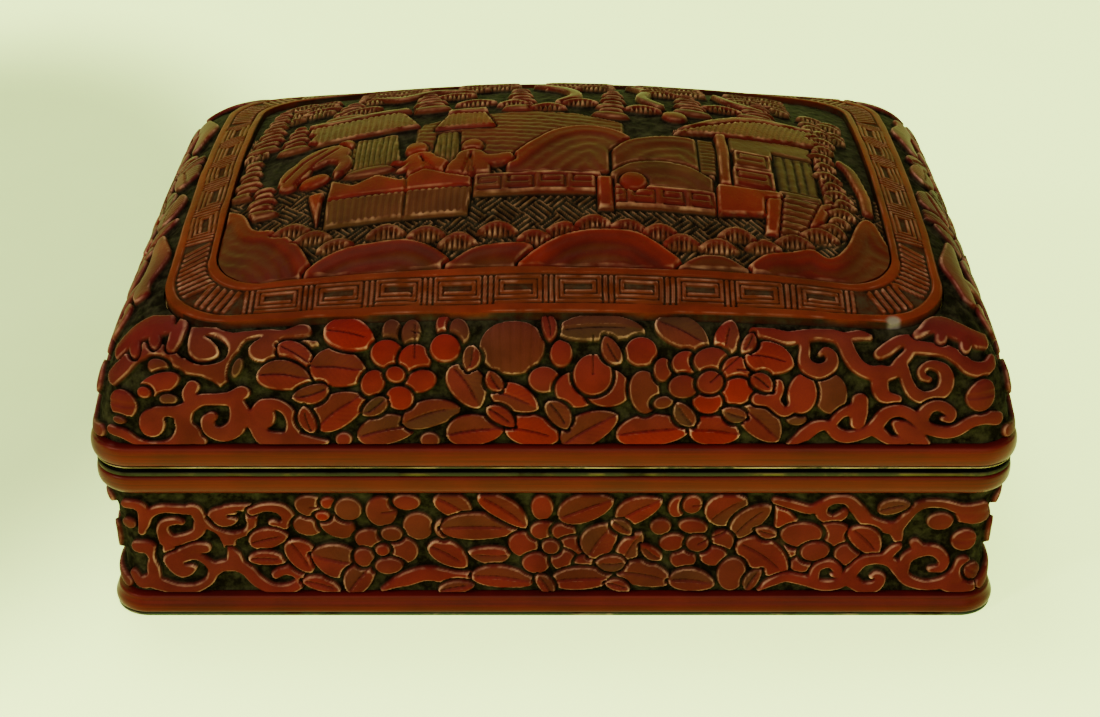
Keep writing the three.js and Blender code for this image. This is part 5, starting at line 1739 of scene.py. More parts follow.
@dataclass(frozen=True)
class CarvedCinnabar:
    """Raw cinnabar lacquer, built up in many coats, carved through and polished by hand.

    To the eye: a red-brown glossy skin with soft brighter and duller coats, near-black cuts with pale dust in
    them, partly soiling and partly painted shade, and thin warm lines where handling has worn the edges, which also
    serve as painted highlights.

    Args:
        name: the material's name.
        face: colour of the polished face.
        bright: colour of the brightest coat.
        olive: colour of the sunk and stained parts.
        ground: colour of the cut ground, near black partly from soiling and partly as painted shade in the cuts.
        edge: colour of worn edges, which also serves as their painted highlight.
        wear_and_highlight: how strongly the worn edges, with their painted highlight, show.
        roughness: roughness of the face.
        specular: strength of its gloss.
        rise: heights over which the ground's colour gives way to the face's.
        dust: colour of dust and lime in the cuts.
        grime_and_shade: colour of the inner corners, darkened partly by soiling and partly as painted shade.
        chip: colour of the ground coat where the lacquer is chipped off.
    """

    name: str = "cinnabar_lacquer_carved_and_polished"
    face: int = 0x441311
    bright: int = 0x5E0D0C
    olive: int = 0x321C12
    ground: int = 0x080603
    edge: int = 0xA87A62
    wear_and_highlight: float = 0.7
    roughness: float = 0.45
    specular: float = 0.015
    rise: Spot = (0.22, 0.74)
    dust: int = 0x2C2819
    grime_and_shade: int = 0x0A0703
    chip: int = 0x5E5345

    def build(self) -> bpy.types.Material:
        """Builds the material.

        Returns:
            The material.
        """
        material, tree, place = start_material(self.name)
        carving = add_node(tree, "ShaderNodeAttribute", {"attribute_name": "carving"})
        parts = add_node(tree, "ShaderNodeSeparateColor", links={"Color": carving.outputs["Color"]}).outputs
        coats = add_node(tree, "ShaderNodeValToRGB", links={"Fac": parts["Green"]},
                         stops=((0.08, self.olive), (0.95, self.bright), (0.5, self.face)))
        # Blotches of 6 mm, as wide as a brushed patch of lacquer
        blotch = add_node(tree, "ShaderNodeTexNoise", links={"Vector": place, "Scale": 1 / 6, "Detail": 5.0})
        shade = add_node(tree, "ShaderNodeValToRGB", links={"Fac": blotch.outputs["Fac"]},
                         stops=((0.34, 0.55), (0.66, 1.0)))
        patchy = add_node(tree, "ShaderNodeMix", {**MIX, "blend_type": "MULTIPLY"},
                          {FACTOR: 0.75, UNDER: coats.outputs["Color"], OVER: shade.outputs["Color"]})
        # Dust and lime lie in the cuts in patches of 2.5 mm with grains of 0.3 mm: real dust is finer and
        # would not show
        dust = add_node(tree, "ShaderNodeTexNoise",
                        links={"Vector": place, "Scale": 1 / 2.5, "Detail": 5.0, "Roughness": 0.7})
        grains = add_node(tree, "ShaderNodeValToRGB", links={"Fac": dust.outputs["Fac"]},
                          stops=((0.42, 0.0), (0.7, 0.8)))
        # The cut ground's near-black colour is partly soiling and partly painted shade
        cuts = add_node(tree, "ShaderNodeMix", MIX,
                        {FACTOR: grains.outputs["Color"], UNDER: linear(self.ground), OVER: linear(self.dust)})
        rise = add_node(tree, "ShaderNodeValToRGB", links={"Fac": parts["Red"]},
                        stops=((self.rise[0], 0.0), (self.rise[1], 1.0)))
        body = add_node(tree, "ShaderNodeMix", MIX,
                        {FACTOR: rise.outputs["Color"], UNDER: cuts.outputs[MIXED], OVER: patchy.outputs[MIXED]})
        # Wear comes and goes along an edge every 2.5 mm; the pale edge colour also serves as a painted highlight
        rub = add_node(tree, "ShaderNodeTexNoise", links={"Vector": place, "Scale": 1 / 2.5, "Detail": 2.0})
        rubbed = add_node(tree, "ShaderNodeMapRange",
                          links={"Value": rub.outputs["Fac"], "From Min": 0.35, "From Max": 0.65})
        edges = add_node(tree, "ShaderNodeMapRange",
                         links={"Value": parts["Blue"], "From Min": 0.6, "From Max": 0.95, "To Max": self.wear_and_highlight})
        worn = add_node(tree, "ShaderNodeMath", {"operation": "MULTIPLY"},
                        {0: rubbed.outputs[0], 1: edges.outputs[0]})
        # The inner corners are darkened, partly soiling and partly painted shade where the hollows would lie in shadow
        grime_and_shade = add_node(tree, "ShaderNodeMapRange",
                         links={"Value": parts["Blue"], "From Min": 0.42, "From Max": 0.15, "To Max": 0.75})
        darkened = add_node(tree, "ShaderNodeMix", MIX,
                         {FACTOR: grime_and_shade.outputs[0], UNDER: body.outputs[MIXED], OVER: linear(self.grime_and_shade)})
        lined = add_node(tree, "ShaderNodeMix", MIX,
                         {FACTOR: worn.outputs[0], UNDER: darkened.outputs[MIXED], OVER: linear(self.edge)})
        chipped = add_node(tree, "ShaderNodeMix", MIX,
                           {FACTOR: carving.outputs["Alpha"], UNDER: lined.outputs[MIXED], OVER: linear(self.chip)})
        gloss = add_node(tree, "ShaderNodeMapRange",
                         links={"Value": rise.outputs["Color"], "To Min": 0.8, "To Max": self.roughness})
        # The knife and the polishing leave a skin that is uneven every 0.7 mm
        skin = add_node(tree, "ShaderNodeTexNoise", links={"Vector": place, "Scale": 1 / 0.7, "Detail": 4.0})
        bump = add_node(tree, "ShaderNodeBump",
                        links={"Strength": 0.22, "Distance": 0.0002, "Height": skin.outputs["Fac"]})
        shader = add_node(tree, "ShaderNodeBsdfPrincipled", links={
            "Base Color": chipped.outputs[MIXED], "Roughness": gloss.outputs[0], "IOR": 1.5,
            "Specular IOR Level": self.specular, "Specular Tint": linear(WARM_TINT),
            "Normal": bump.outputs["Normal"]})
        add_node(tree, "ShaderNodeOutputMaterial", links={"Surface": shader.outputs["BSDF"]})
        return material


@dataclass(frozen=True)
class BrushedLacquer:
    """Cinnabar lacquer brushed along a plain moulding and rubbed smooth.

    To the eye: an even warm red-brown with fine streaks that run round the box and a soft sheen.

    Args:
        name: the material's name.
        colour: usual colour.
        dark: colour of the darker streaks.
        roughness: roughness of the rubbed skin.
        specular: strength of its gloss.
    """

    name: str = "cinnabar_lacquer_brushed_on_moulding"
    colour: int = 0x420908
    dark: int = 0x300706
    roughness: float = 0.34
    specular: float = 0.1

    def build(self) -> bpy.types.Material:
        """Builds the material.

        Returns:
            The material.
        """
        material, tree, place = start_material(self.name)
        # Brush marks of 0.35 mm across and 25 mm along, drawn level round the box, over patches of 9 mm
        drawn = add_node(tree, "ShaderNodeVectorMath", {"operation": "MULTIPLY"}, {0: place, 1: (0.04, 0.04, 2.8)})
        marks = add_node(tree, "ShaderNodeTexNoise",
                         links={"Vector": drawn.outputs[0], "Scale": 1.0, "Detail": 4.0})
        patch = add_node(tree, "ShaderNodeTexNoise", links={"Vector": place, "Scale": 1 / 9, "Detail": 4.0})
        share = add_node(tree, "ShaderNodeMath", {"operation": "MULTIPLY"}, {0: marks.outputs["Fac"], 1: 0.55})
        both = add_node(tree, "ShaderNodeMath", {"operation": "MULTIPLY_ADD"},
                        {0: patch.outputs["Fac"], 1: 0.45, 2: share.outputs[0]})
        colour = add_node(tree, "ShaderNodeValToRGB", links={"Fac": both.outputs[0]},
                          stops=((0.36, self.dark), (0.6, self.colour)))
        gloss = add_node(tree, "ShaderNodeMapRange", links={
            "Value": patch.outputs["Fac"], "To Min": self.roughness - 0.06, "To Max": self.roughness + 0.1})
        bump = add_node(tree, "ShaderNodeBump",
                        links={"Strength": 0.2, "Distance": 0.00015, "Height": both.outputs[0]})
        shader = add_node(tree, "ShaderNodeBsdfPrincipled", links={
            "Base Color": colour.outputs["Color"], "Roughness": gloss.outputs[0], "IOR": 1.5,
            "Specular IOR Level": self.specular, "Specular Tint": linear(WARM_TINT),
            "Normal": bump.outputs["Normal"]})
        add_node(tree, "ShaderNodeOutputMaterial", links={"Surface": shader.outputs["BSDF"]})
        return material


@dataclass(frozen=True)
class SheetBrass:
    """Rolled sheet brass, dulled by age.

    To the eye: yellow metal with a brown haze, and green verdigris in patches where it is tarnished.

    Args:
        name: the material's name.
        bright: colour of the rubbed metal.
        dull: colour of the tarnish.
        patina: colour of the patches.
        spread: how much of the surface the patches take.
        roughness: roughness of the metal.
        shadow_below: height under which the metal is painted near black and matt, as a painted shadow.
        gap_shadow_colour: colour of that painted shadow.
        specular: strength of the gloss of what lies on the metal.
    """

    name: str = "brass_sheet_rolled_and_aged"
    bright: int = 0xC6A060
    dull: int = 0x876638
    patina: int = 0x6E5F38
    spread: float = 0.1
    roughness: float = 0.38
    shadow_below: float = -1.0
    gap_shadow_colour: int = 0x050403
    specular: float = 0.08

    def build(self) -> bpy.types.Material:
        """Builds the material.

        Returns:
            The material.
        """
        material, tree, place = start_material(self.name)
        # Tarnish clouds of 7 mm, and grains of verdigris of 1.2 mm in patches of 10 mm
        cloud = add_node(tree, "ShaderNodeTexNoise", links={"Vector": place, "Scale": 1 / 7, "Detail": 6.0})
        metal = add_node(tree, "ShaderNodeValToRGB", links={"Fac": cloud.outputs["Fac"]},
                         stops=((0.38, self.dull), (0.64, self.bright)))
        patch = add_node(tree, "ShaderNodeTexNoise",
                         links={"Vector": place, "Scale": 1 / 10, "Detail": 8.0, "Roughness": 0.7})
        where = add_node(tree, "ShaderNodeMapRange", links={
            "Value": patch.outputs["Fac"], "From Min": 0.66 - self.spread, "From Max": 0.74 - self.spread})
        colour = add_node(tree, "ShaderNodeMix", MIX,
                          {FACTOR: where.outputs[0], UNDER: metal.outputs["Color"], OVER: linear(self.patina)})
        # Below a set height the metal is painted near black and matt: a painted shadow, here in the rim wire's groove
        # under the lid
        height = add_node(tree, "ShaderNodeSeparateXYZ", links={"Vector": place})
        in_shadow = add_node(tree, "ShaderNodeMapRange", links={
            "Value": height.outputs["Z"], "From Min": self.shadow_below + 0.06, "From Max": self.shadow_below})
        darkened = add_node(tree, "ShaderNodeMix", MIX,
                         {FACTOR: in_shadow.outputs[0], UNDER: colour.outputs[MIXED], OVER: linear(self.gap_shadow_colour)})
        matt = add_node(tree, "ShaderNodeMath", {"operation": "MAXIMUM"},
                        {0: where.outputs[0], 1: in_shadow.outputs[0]})
        bare = add_node(tree, "ShaderNodeMapRange",
                        links={"Value": matt.outputs[0], "To Min": 1.0, "To Max": 0.05})
        gloss = add_node(tree, "ShaderNodeMapRange",
                         links={"Value": matt.outputs[0], "To Min": self.roughness, "To Max": 0.85})
        grain = add_node(tree, "ShaderNodeTexNoise", links={"Vector": place, "Scale": 1 / 1.2, "Detail": 5.0})
        bump = add_node(tree, "ShaderNodeBump",
                        links={"Strength": 0.25, "Distance": 0.0002, "Height": grain.outputs["Fac"]})
        shader = add_node(tree, "ShaderNodeBsdfPrincipled", links={
            "Base Color": darkened.outputs[MIXED], "Metallic": bare.outputs[0], "Roughness": gloss.outputs[0],
            "Specular IOR Level": self.specular, "Normal": bump.outputs["Normal"]})
        add_node(tree, "ShaderNodeOutputMaterial", links={"Surface": shader.outputs["BSDF"]})
        return material


@dataclass(frozen=True)
class StudioPaper:
    """Matt seamless paper under the box, with its faint fibre, glowing as if lit from below: the glow is painted light
    emitted by the paper itself.

    Args:
        name: the material's name.
        colour: its colour.
        fibre: colour of its denser fibres.
        light: colour of the light that the paper gives off.
        glow: strength of that light.
        painted_shadow: the glow's strength at the left of the box, lowered there as a painted shadow, where the
            photograph's paper is darker.
        front: glow added in front of the box as painted light, where the photograph's paper is brighter.
    """

    name: str = "studio_paper_matt"
    colour: int = 0xD4EA96
    fibre: int = 0xD0E692
    light: int = 0xD4F280
    glow: float = 2.6
    painted_shadow: float = 0.15
    front: float = 1.6

    def build(self) -> bpy.types.Material:
        """Builds the material.

        Returns:
            The material.
        """
        material, tree, place = start_material(self.name)
        # Fibres gather in clouds of 40 mm
        fibre = add_node(tree, "ShaderNodeTexNoise", links={"Vector": place, "Scale": 1 / 40, "Detail": 3.0})
        colour = add_node(tree, "ShaderNodeValToRGB", links={"Fac": fibre.outputs["Fac"]},
                          stops=((0.3, self.fibre), (0.7, self.colour)))
        # The painted shadow lies 150 mm to the left, up to 224 mm across and longer towards the back
        level = add_node(tree, "ShaderNodeVectorMath", {"operation": "MULTIPLY"}, {0: place, 1: (1.0, 0.6, 0.6)})
        away = add_node(tree, "ShaderNodeVectorMath", {"operation": "DISTANCE"},
                        {0: level.outputs[0], 1: (-150.0, 42.0, 0.0)})
        light = add_node(tree, "ShaderNodeMapRange", {"interpolation_type": "SMOOTHSTEP"},
                         {"Value": away.outputs["Value"], "From Min": 64.0, "From Max": 112.0,
                          "To Min": self.painted_shadow, "To Max": self.glow})
        # The painted extra light starts 30 mm in front of the box's middle and is full at 110 mm
        depth = add_node(tree, "ShaderNodeSeparateXYZ", links={"Vector": place})
        near = add_node(tree, "ShaderNodeMapRange", {"interpolation_type": "SMOOTHSTEP"},
                        {"Value": depth.outputs["Y"], "From Min": -30.0, "From Max": -110.0,
                         "To Min": 0.0, "To Max": self.front})
        total = add_node(tree, "ShaderNodeMath", {"operation": "ADD"},
                         {0: light.outputs["Result"], 1: near.outputs["Result"]})
        shader = add_node(tree, "ShaderNodeBsdfPrincipled", links={
            "Base Color": colour.outputs["Color"], "Roughness": 0.95, "Specular IOR Level": 0.1,
            "Emission Color": linear(self.light), "Emission Strength": total.outputs[0]})
        add_node(tree, "ShaderNodeOutputMaterial", links={"Surface": shader.outputs["BSDF"]})
        return material


class Finish(Enum):
    """Finishes of the box, by the part's own slots."""

    CARVED = "cinnabar_lacquer"
    SCENE = "cinnabar_lacquer_scene"
    BLACK = "black_lacquer"
    BRASS = "brass_sheet"
    TARNISHED = "tarnished_brass"


@dataclass
class Finishes:
    """All materials, made once.

    Args:
        carved: lacquer of the friezes.
        scene: lacquer of the garden scene, browner and more worn.
        fret: lacquer of the border, the most worn.
        moulding: plain brushed lacquer.
        black: black lacquer inside and underneath.
        brass: pale brass of the body's sheet.
        tarnished: brass of the foot wire, with verdigris.
        rim: brass of the rim wire, painted near black low in its groove as the shadow under the lid.
        rubbed: brass of the lid's wire, kept pale by fingers.
    """

    carved: bpy.types.Material = field(default_factory=CarvedCinnabar().build)
    scene: bpy.types.Material = field(default_factory=CarvedCinnabar(
        "cinnabar_lacquer_carved_scene", face=0x3E0F0A, bright=0x62140A, olive=0x3E2912, ground=0x0B0805,
        edge=0x9E7350, wear_and_highlight=0.5, roughness=0.42, specular=0.02, rise=(0.1, 0.42)).build)
    fret: bpy.types.Material = field(default_factory=CarvedCinnabar(
        "cinnabar_lacquer_worn_fret", face=0x4A1C0D, bright=0x62170B, olive=0x38200E, ground=0x2A1208,
        wear_and_highlight=0.5, roughness=0.5, specular=0.012, rise=(0.3, 0.7)).build)
    moulding: bpy.types.Material = field(default_factory=BrushedLacquer().build)
    black: bpy.types.Material = field(default_factory=BrushedLacquer(
        "black_lacquer_brushed_and_rubbed", 0x110D0B, 0x080605, 0.26, 0.4).build)
    brass: bpy.types.Material = field(default_factory=SheetBrass().build)
    tarnished: bpy.types.Material = field(default_factory=SheetBrass(
        "brass_wire_drawn_and_tarnished", 0x6E6844, 0x282612, 0x2E3A20, 0.24, 0.45).build)
    # Below 28.63 mm the rim wire is painted near black, a painted shadow in the gap under the lid
    rim: bpy.types.Material = field(default_factory=SheetBrass(
        "brass_wire_tarnished_with_painted_gap_shadow", 0x443A20, 0x1C160A, 0x22220F, 0.22, 0.5, 28.63).build)
    rubbed: bpy.types.Material = field(default_factory=SheetBrass(
        "brass_wire_rubbed_by_fingers", 0x9C8A5C, 0x5A4C2C, 0x3A3A20, 0.16, 0.45).build)


def dress(piece: bpy.types.Object, body: str, finish: Finish, material: bpy.types.Material, *nodes: str) -> None:
    """Gives a piece its material and its place in the part.

    Args:
        piece: the piece.
        body: the body that it moves with.
        finish: its finish slot; not used.
        material: its material.
        nodes: the CAD nodes that it stands for.
    """
    piece.data.materials.clear()
    piece.data.materials.append(material)
    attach(piece, body)
    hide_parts(*nodes)
    LOG.info("%s: %d faces", piece.name, len(piece.data.polygons))


# ---- Sub-assemblies ----

SIDES = ("front", "right", "back", "left")


def carved_sides(form: BoxForm, band: CarvedBand, spots: Array, back: Array,
                 surface: Callable[[Array], Array], stem: str) -> list[bpy.types.Object]:
    """Parts a carved band at the corners into its four pieces.

    Args:
        form: the box's sizes.
        band: the carved band.
        spots: points of the finished face.
        back: points of the coat's back.
        surface: gives the points at a depth under the finished face.
        stem: first part of the pieces' names.

    Returns:
        Front, right, back and left piece.
    """
    heights, values = band.finished(spots)
    # The carving dies out beside the mouldings
    edge = np.minimum(band.up - band.up[0], band.up[-1] - band.up)[:, None]
    fade = ease(0.0, 0.3, edge)
    heights = heights * fade
    values[..., 0] *= fade
    points = surface(form.relief * (1 - heights))
    pieces = []
    for side, word in enumerate(SIDES):
        own = band.outline.side == side
        cells = grid_quads(len(band.up), int(own.sum()))
        face, rear = points[:, own].reshape(-1, 3), back[:, own].reshape(-1, 3)
        pieces.append(make_mesh(f"{stem}_{word}_carved", *skirted(face, rear, cells, values[:, own].reshape(-1, 4))))
    return pieces


@dataclass
class CarvedLid:
    """Domed lid: four friezes, the fret border, the garden scene, its edge and its lining.

    Args:
        form: the box's sizes.
        finishes: the materials.
        rows: rows of points up a frieze.
        border_rows: rows of points across the fret border.
        scene_columns: points along the garden scene.
        scene_rows: points across it.
        frieze_foot: height at which the friezes start, over the lid's edge.
        moulding_foot: height of the edge moulding's foot.
        moulding_bulge: how far it stands proud.
        fret_depth: depth of the fret.
        lining_depth: depth of the lining's back.
        lining_coat: thickness of the lining.
        leafy: how far from a side's middle bare ground is filled, on a long side and on a short one.
        fret_shifts: where the first double bar of each side's fret stands.
        chip_at: place of the chip in the border.
        chip_size: half its length and width.
    """

    form: BoxForm
    finishes: Finishes
    rows: int = 132
    border_rows: int = 40
    scene_columns: int = 377
    scene_rows: int = 259
    frieze_foot: float = 4.5
    moulding_foot: float = 0.8
    moulding_bulge: float = 0.35
    fret_depth: float = 0.6
    lining_depth: float = 3.8
    lining_coat: float = 0.6
    leafy: Spot = (41.0, 19.0)
    fret_shifts: tuple[float, float, float, float] = (-0.8, 4.8, 0.8, 4.8)
    chip_at: Spot = (53.6, -45.5)
    chip_size: Spot = (1.3, 0.7)

    def build(self) -> None:
        """Builds and dresses every piece of the lid."""
        self.friezes()
        self.border()
        self.scene()
        self.edge()
        self.lining()

    def arch_rows(self) -> tuple[Array, Array]:
        """Spreads a frieze's rows evenly over the arch.

        Returns:
            Each row's angle, and its length up the front from the rim.
        """
        middle = Outline(np.zeros(1), np.zeros(1), np.zeros(1))
        angles = np.linspace(0, math.pi / 2, 900)
        points = self.form.shoulder_points(middle, angles, 0.0)[:, 0]
        arc = np.append(0, np.cumsum(np.linalg.norm(np.diff(points, axis=0), axis=1)))
        start = float(np.interp(self.form.angle_at(self.frieze_foot), angles, arc))
        up = np.linspace(start, arc[-1], self.rows)
        return np.interp(up, arc, angles), up

    def friezes(self) -> None:
        """Carves the four friezes on the shoulder."""
        form = self.form
        angles, up = self.arch_rows()
        outline = Outline.round_box(*CARVED_STEPS)
        x, half = outline.drawn(*form.shoulder_halves(angles[:, None]))
        band = CarvedBand(outline, x, half, up, seed=11)
        for side, motifs in enumerate((LID_FRONT, LID_SIDE) * 2):
            band.carve_side(side, motifs, self.leafy[side % 2])
        spots = form.shoulder_points(outline, angles, 0.0)
        back = form.shoulder_points(outline, angles, form.coat)
        pieces = carved_sides(form, band, spots, back,
                              lambda depth: form.shoulder_points(outline, angles, depth), "lid_frieze")
        for word, piece in zip(SIDES, pieces):
            dress(piece, "lid", Finish.CARVED, self.finishes.carved, f"lid_frieze_{word}")

    def border(self) -> None:
        """Carves the fret border."""
        form = self.form
        insets = np.linspace(SEAM, form.band, self.border_rows)
        outline = Outline.round_box(*CARVED_STEPS).closed()
        x, half = outline.drawn(*form.border_halves(insets[:, None]))
        band = CarvedBand(outline, x, half, insets, seed=41)
        middle = form.border_halves(form.band / 2)
        for side, shift in enumerate(self.fret_shifts):
            straight = middle[side % 2] - middle[2]
            band.carve_side(side, fret_border(straight, straight + middle[2] * math.pi / 4, shift))
        # The ground between the fret's lines is left high
        np.maximum(band.height, 0.3, out=band.height)
        flat_x, flat_y = outline.place(*form.border_halves(insets[:, None]))
        spots = form.top_points(flat_x, flat_y, 0.0)
        heights, values = band.finished(spots, rough=0.12)
        (chip_x, chip_y), (chip_long, chip_wide), chip_depth = self.chip_at, self.chip_size, 0.35
        chip_share = np.hypot((flat_x - chip_x) / chip_long, (flat_y - chip_y) / chip_wide)
        chip = ease(1.5, 0.8, chip_share + 0.8 * ripple(spots, 1.4, 5))
        values[..., 3] = chip
        points = form.top_points(flat_x, flat_y, self.fret_depth * (1 - heights) + chip_depth * chip)
        back = form.top_points(flat_x, flat_y, form.coat)
        cells = grid_quads(len(insets), flat_x.shape[1], closed=True)
        piece = make_mesh("lid_fret_border_carved",
                          *skirted(points.reshape(-1, 3), back.reshape(-1, 3), cells, values.reshape(-1, 4)))
        dress(piece, "lid", Finish.SCENE, self.finishes.fret, "lid_fret_border")

    def scene(self) -> None:
        """Carves the garden scene on the crown."""
        form = self.form
        half_x, half_y = form.top_long - form.band - SEAM, form.top_wide - form.band - SEAM
        corner = form.scene_corner
        x, y = np.meshgrid(np.linspace(-half_x, half_x, self.scene_columns),
                           np.linspace(-half_y, half_y, self.scene_rows))
        # Points outside a rounded corner are drawn in to its edge
        over_x = np.maximum(np.abs(x) - half_x + corner, 0)
        over_y = np.maximum(np.abs(y) - half_y + corner, 0)
        away = np.hypot(over_x, over_y)
        pull = np.minimum(corner / np.maximum(away, 1e-6), 1)
        outside = (away > corner + 0.01) & (over_x > 0) & (over_y > 0)
        x = np.where(outside, np.sign(x) * (half_x - corner + over_x * pull), x)
        y = np.where(outside, np.sign(y) * (half_y - corner + over_y * pull), y)
        noise = np.stack([x, y, np.zeros_like(x)], axis=-1)
        panel = Panel.blank(x + 0.25 * ripple(noise, 6, 21), y + 0.25 * ripple(noise, 6, 22))
        for motif in SCENE:
            motif.carve(panel)
        band = CarvedBand(Outline(np.zeros(0), np.zeros(0), np.zeros(0)), x, x, y, seed=24)
        band.height, band.tone = panel.height, panel.tone
        spots = form.top_points(x, y, 0.0)
        heights, values = band.finished(spots)
        points = form.top_points(x, y, form.relief * (1 - heights))
        back = form.top_points(x, y, form.coat)
        # Cells that lie wholly outside the corners go, and what is left is numbered again
        cells = grid_quads(*x.shape)
        cells = cells[~outside.ravel()[cells].all(axis=1)]
        number = np.cumsum(np.isin(np.arange(x.size), cells)) - 1
        kept = np.unique(cells)
        face, rear = points.reshape(-1, 3)[kept], back.reshape(-1, 3)[kept]
        piece = make_mesh("lid_garden_scene_carved", *skirted(face, rear, number[cells], values.reshape(-1, 4)[kept]))
        dress(piece, "lid", Finish.SCENE, self.finishes.scene, "lid_garden_scene")

    def edge(self) -> None:
        """Builds the plain moulding and the wire along the lid's lower edge."""
        form = self.form
        outline = Outline.round_box(*PLAIN_STEPS).closed()
        foot, top, rounding = self.moulding_foot - 0.26, self.frieze_foot - SEAM, 0.28
        rows = []
        for share in np.linspace(0, 1, 15):
            height = foot + (top - foot) * share
            # The face bulges gently, and its lips at foot and top are rounded off
            lip = 1 - math.sin(math.pi * min(share, 1 - share)) ** 0.3
            bulge = self.moulding_bulge * math.sin(math.pi * share) ** 0.6 - rounding * lip
            rows.append(form.shoulder_points(outline, np.array([form.angle_at(height)]), -bulge)[0])
        for height in (top, foot):
            rows.append(form.shoulder_points(outline, np.array([form.angle_at(height, form.coat)]), form.coat)[0])
        self.band_piece("lid_edge_moulding_brushed", rows, Finish.CARVED, self.finishes.moulding, "lid_edge_moulding")
        section = ((5, 0.12), (0.5, 0.1), (0.3, 0.13), (0.24, 0.2), (0.28, 0.28), (0.45, 0.34), (1, 0.42), (5, 0.5))
        rows = [form.wall_points(outline, inset, form.lid_edge + rise) for inset, rise in section]
        self.band_piece("lid_edge_wire_drawn", rows, Finish.TARNISHED, self.finishes.rubbed, "lid_edge_wire")

    def band_piece(self, name: str, rows: list[Array], finish: Finish, material: bpy.types.Material,
                   node: str) -> None:
        """Closes rows round the box into a band and dresses it.

        Args:
            name: the piece's name.
            rows: the rows, over its outside and back along its inside.
            finish: its finish slot.
            material: its material.
            node: the CAD node that it stands for.
        """
        points = np.stack(rows)
        points = points + 0.03 * ripple(points, 11, 77)[..., None] * np.array([1, 1, 0.4])
        dress(make_hoop(name, points), "lid", finish, material, node)

    def lining(self) -> None:
        """Builds the smooth black lining inside the lid."""
        form = self.form
        outline = Outline.round_box(*LINING_STEPS).closed()
        faces = []
        for depth in (self.lining_depth, self.lining_depth + self.lining_coat):
            start = form.angle_at(self.moulding_foot, depth)
            arch = form.shoulder_points(outline, np.linspace(start, math.pi / 2, 26), depth)
            # Rings that shrink to the middle close the top
            shares = 1 - np.linspace(0, 1, 23)[1:, None]
            half_x, half_y, corner = form.top_long * shares, form.top_wide * shares, form.top_corner * shares
            faces.append(np.concatenate([arch, form.top_points(*outline.place(half_x, half_y, corner), depth)]))
        piece = make_hoop("lid_lining_smooth", np.concatenate([faces[0], faces[1][::-1]]))
        dress(piece, "lid", Finish.BLACK, self.finishes.black, "lid_black_lining")


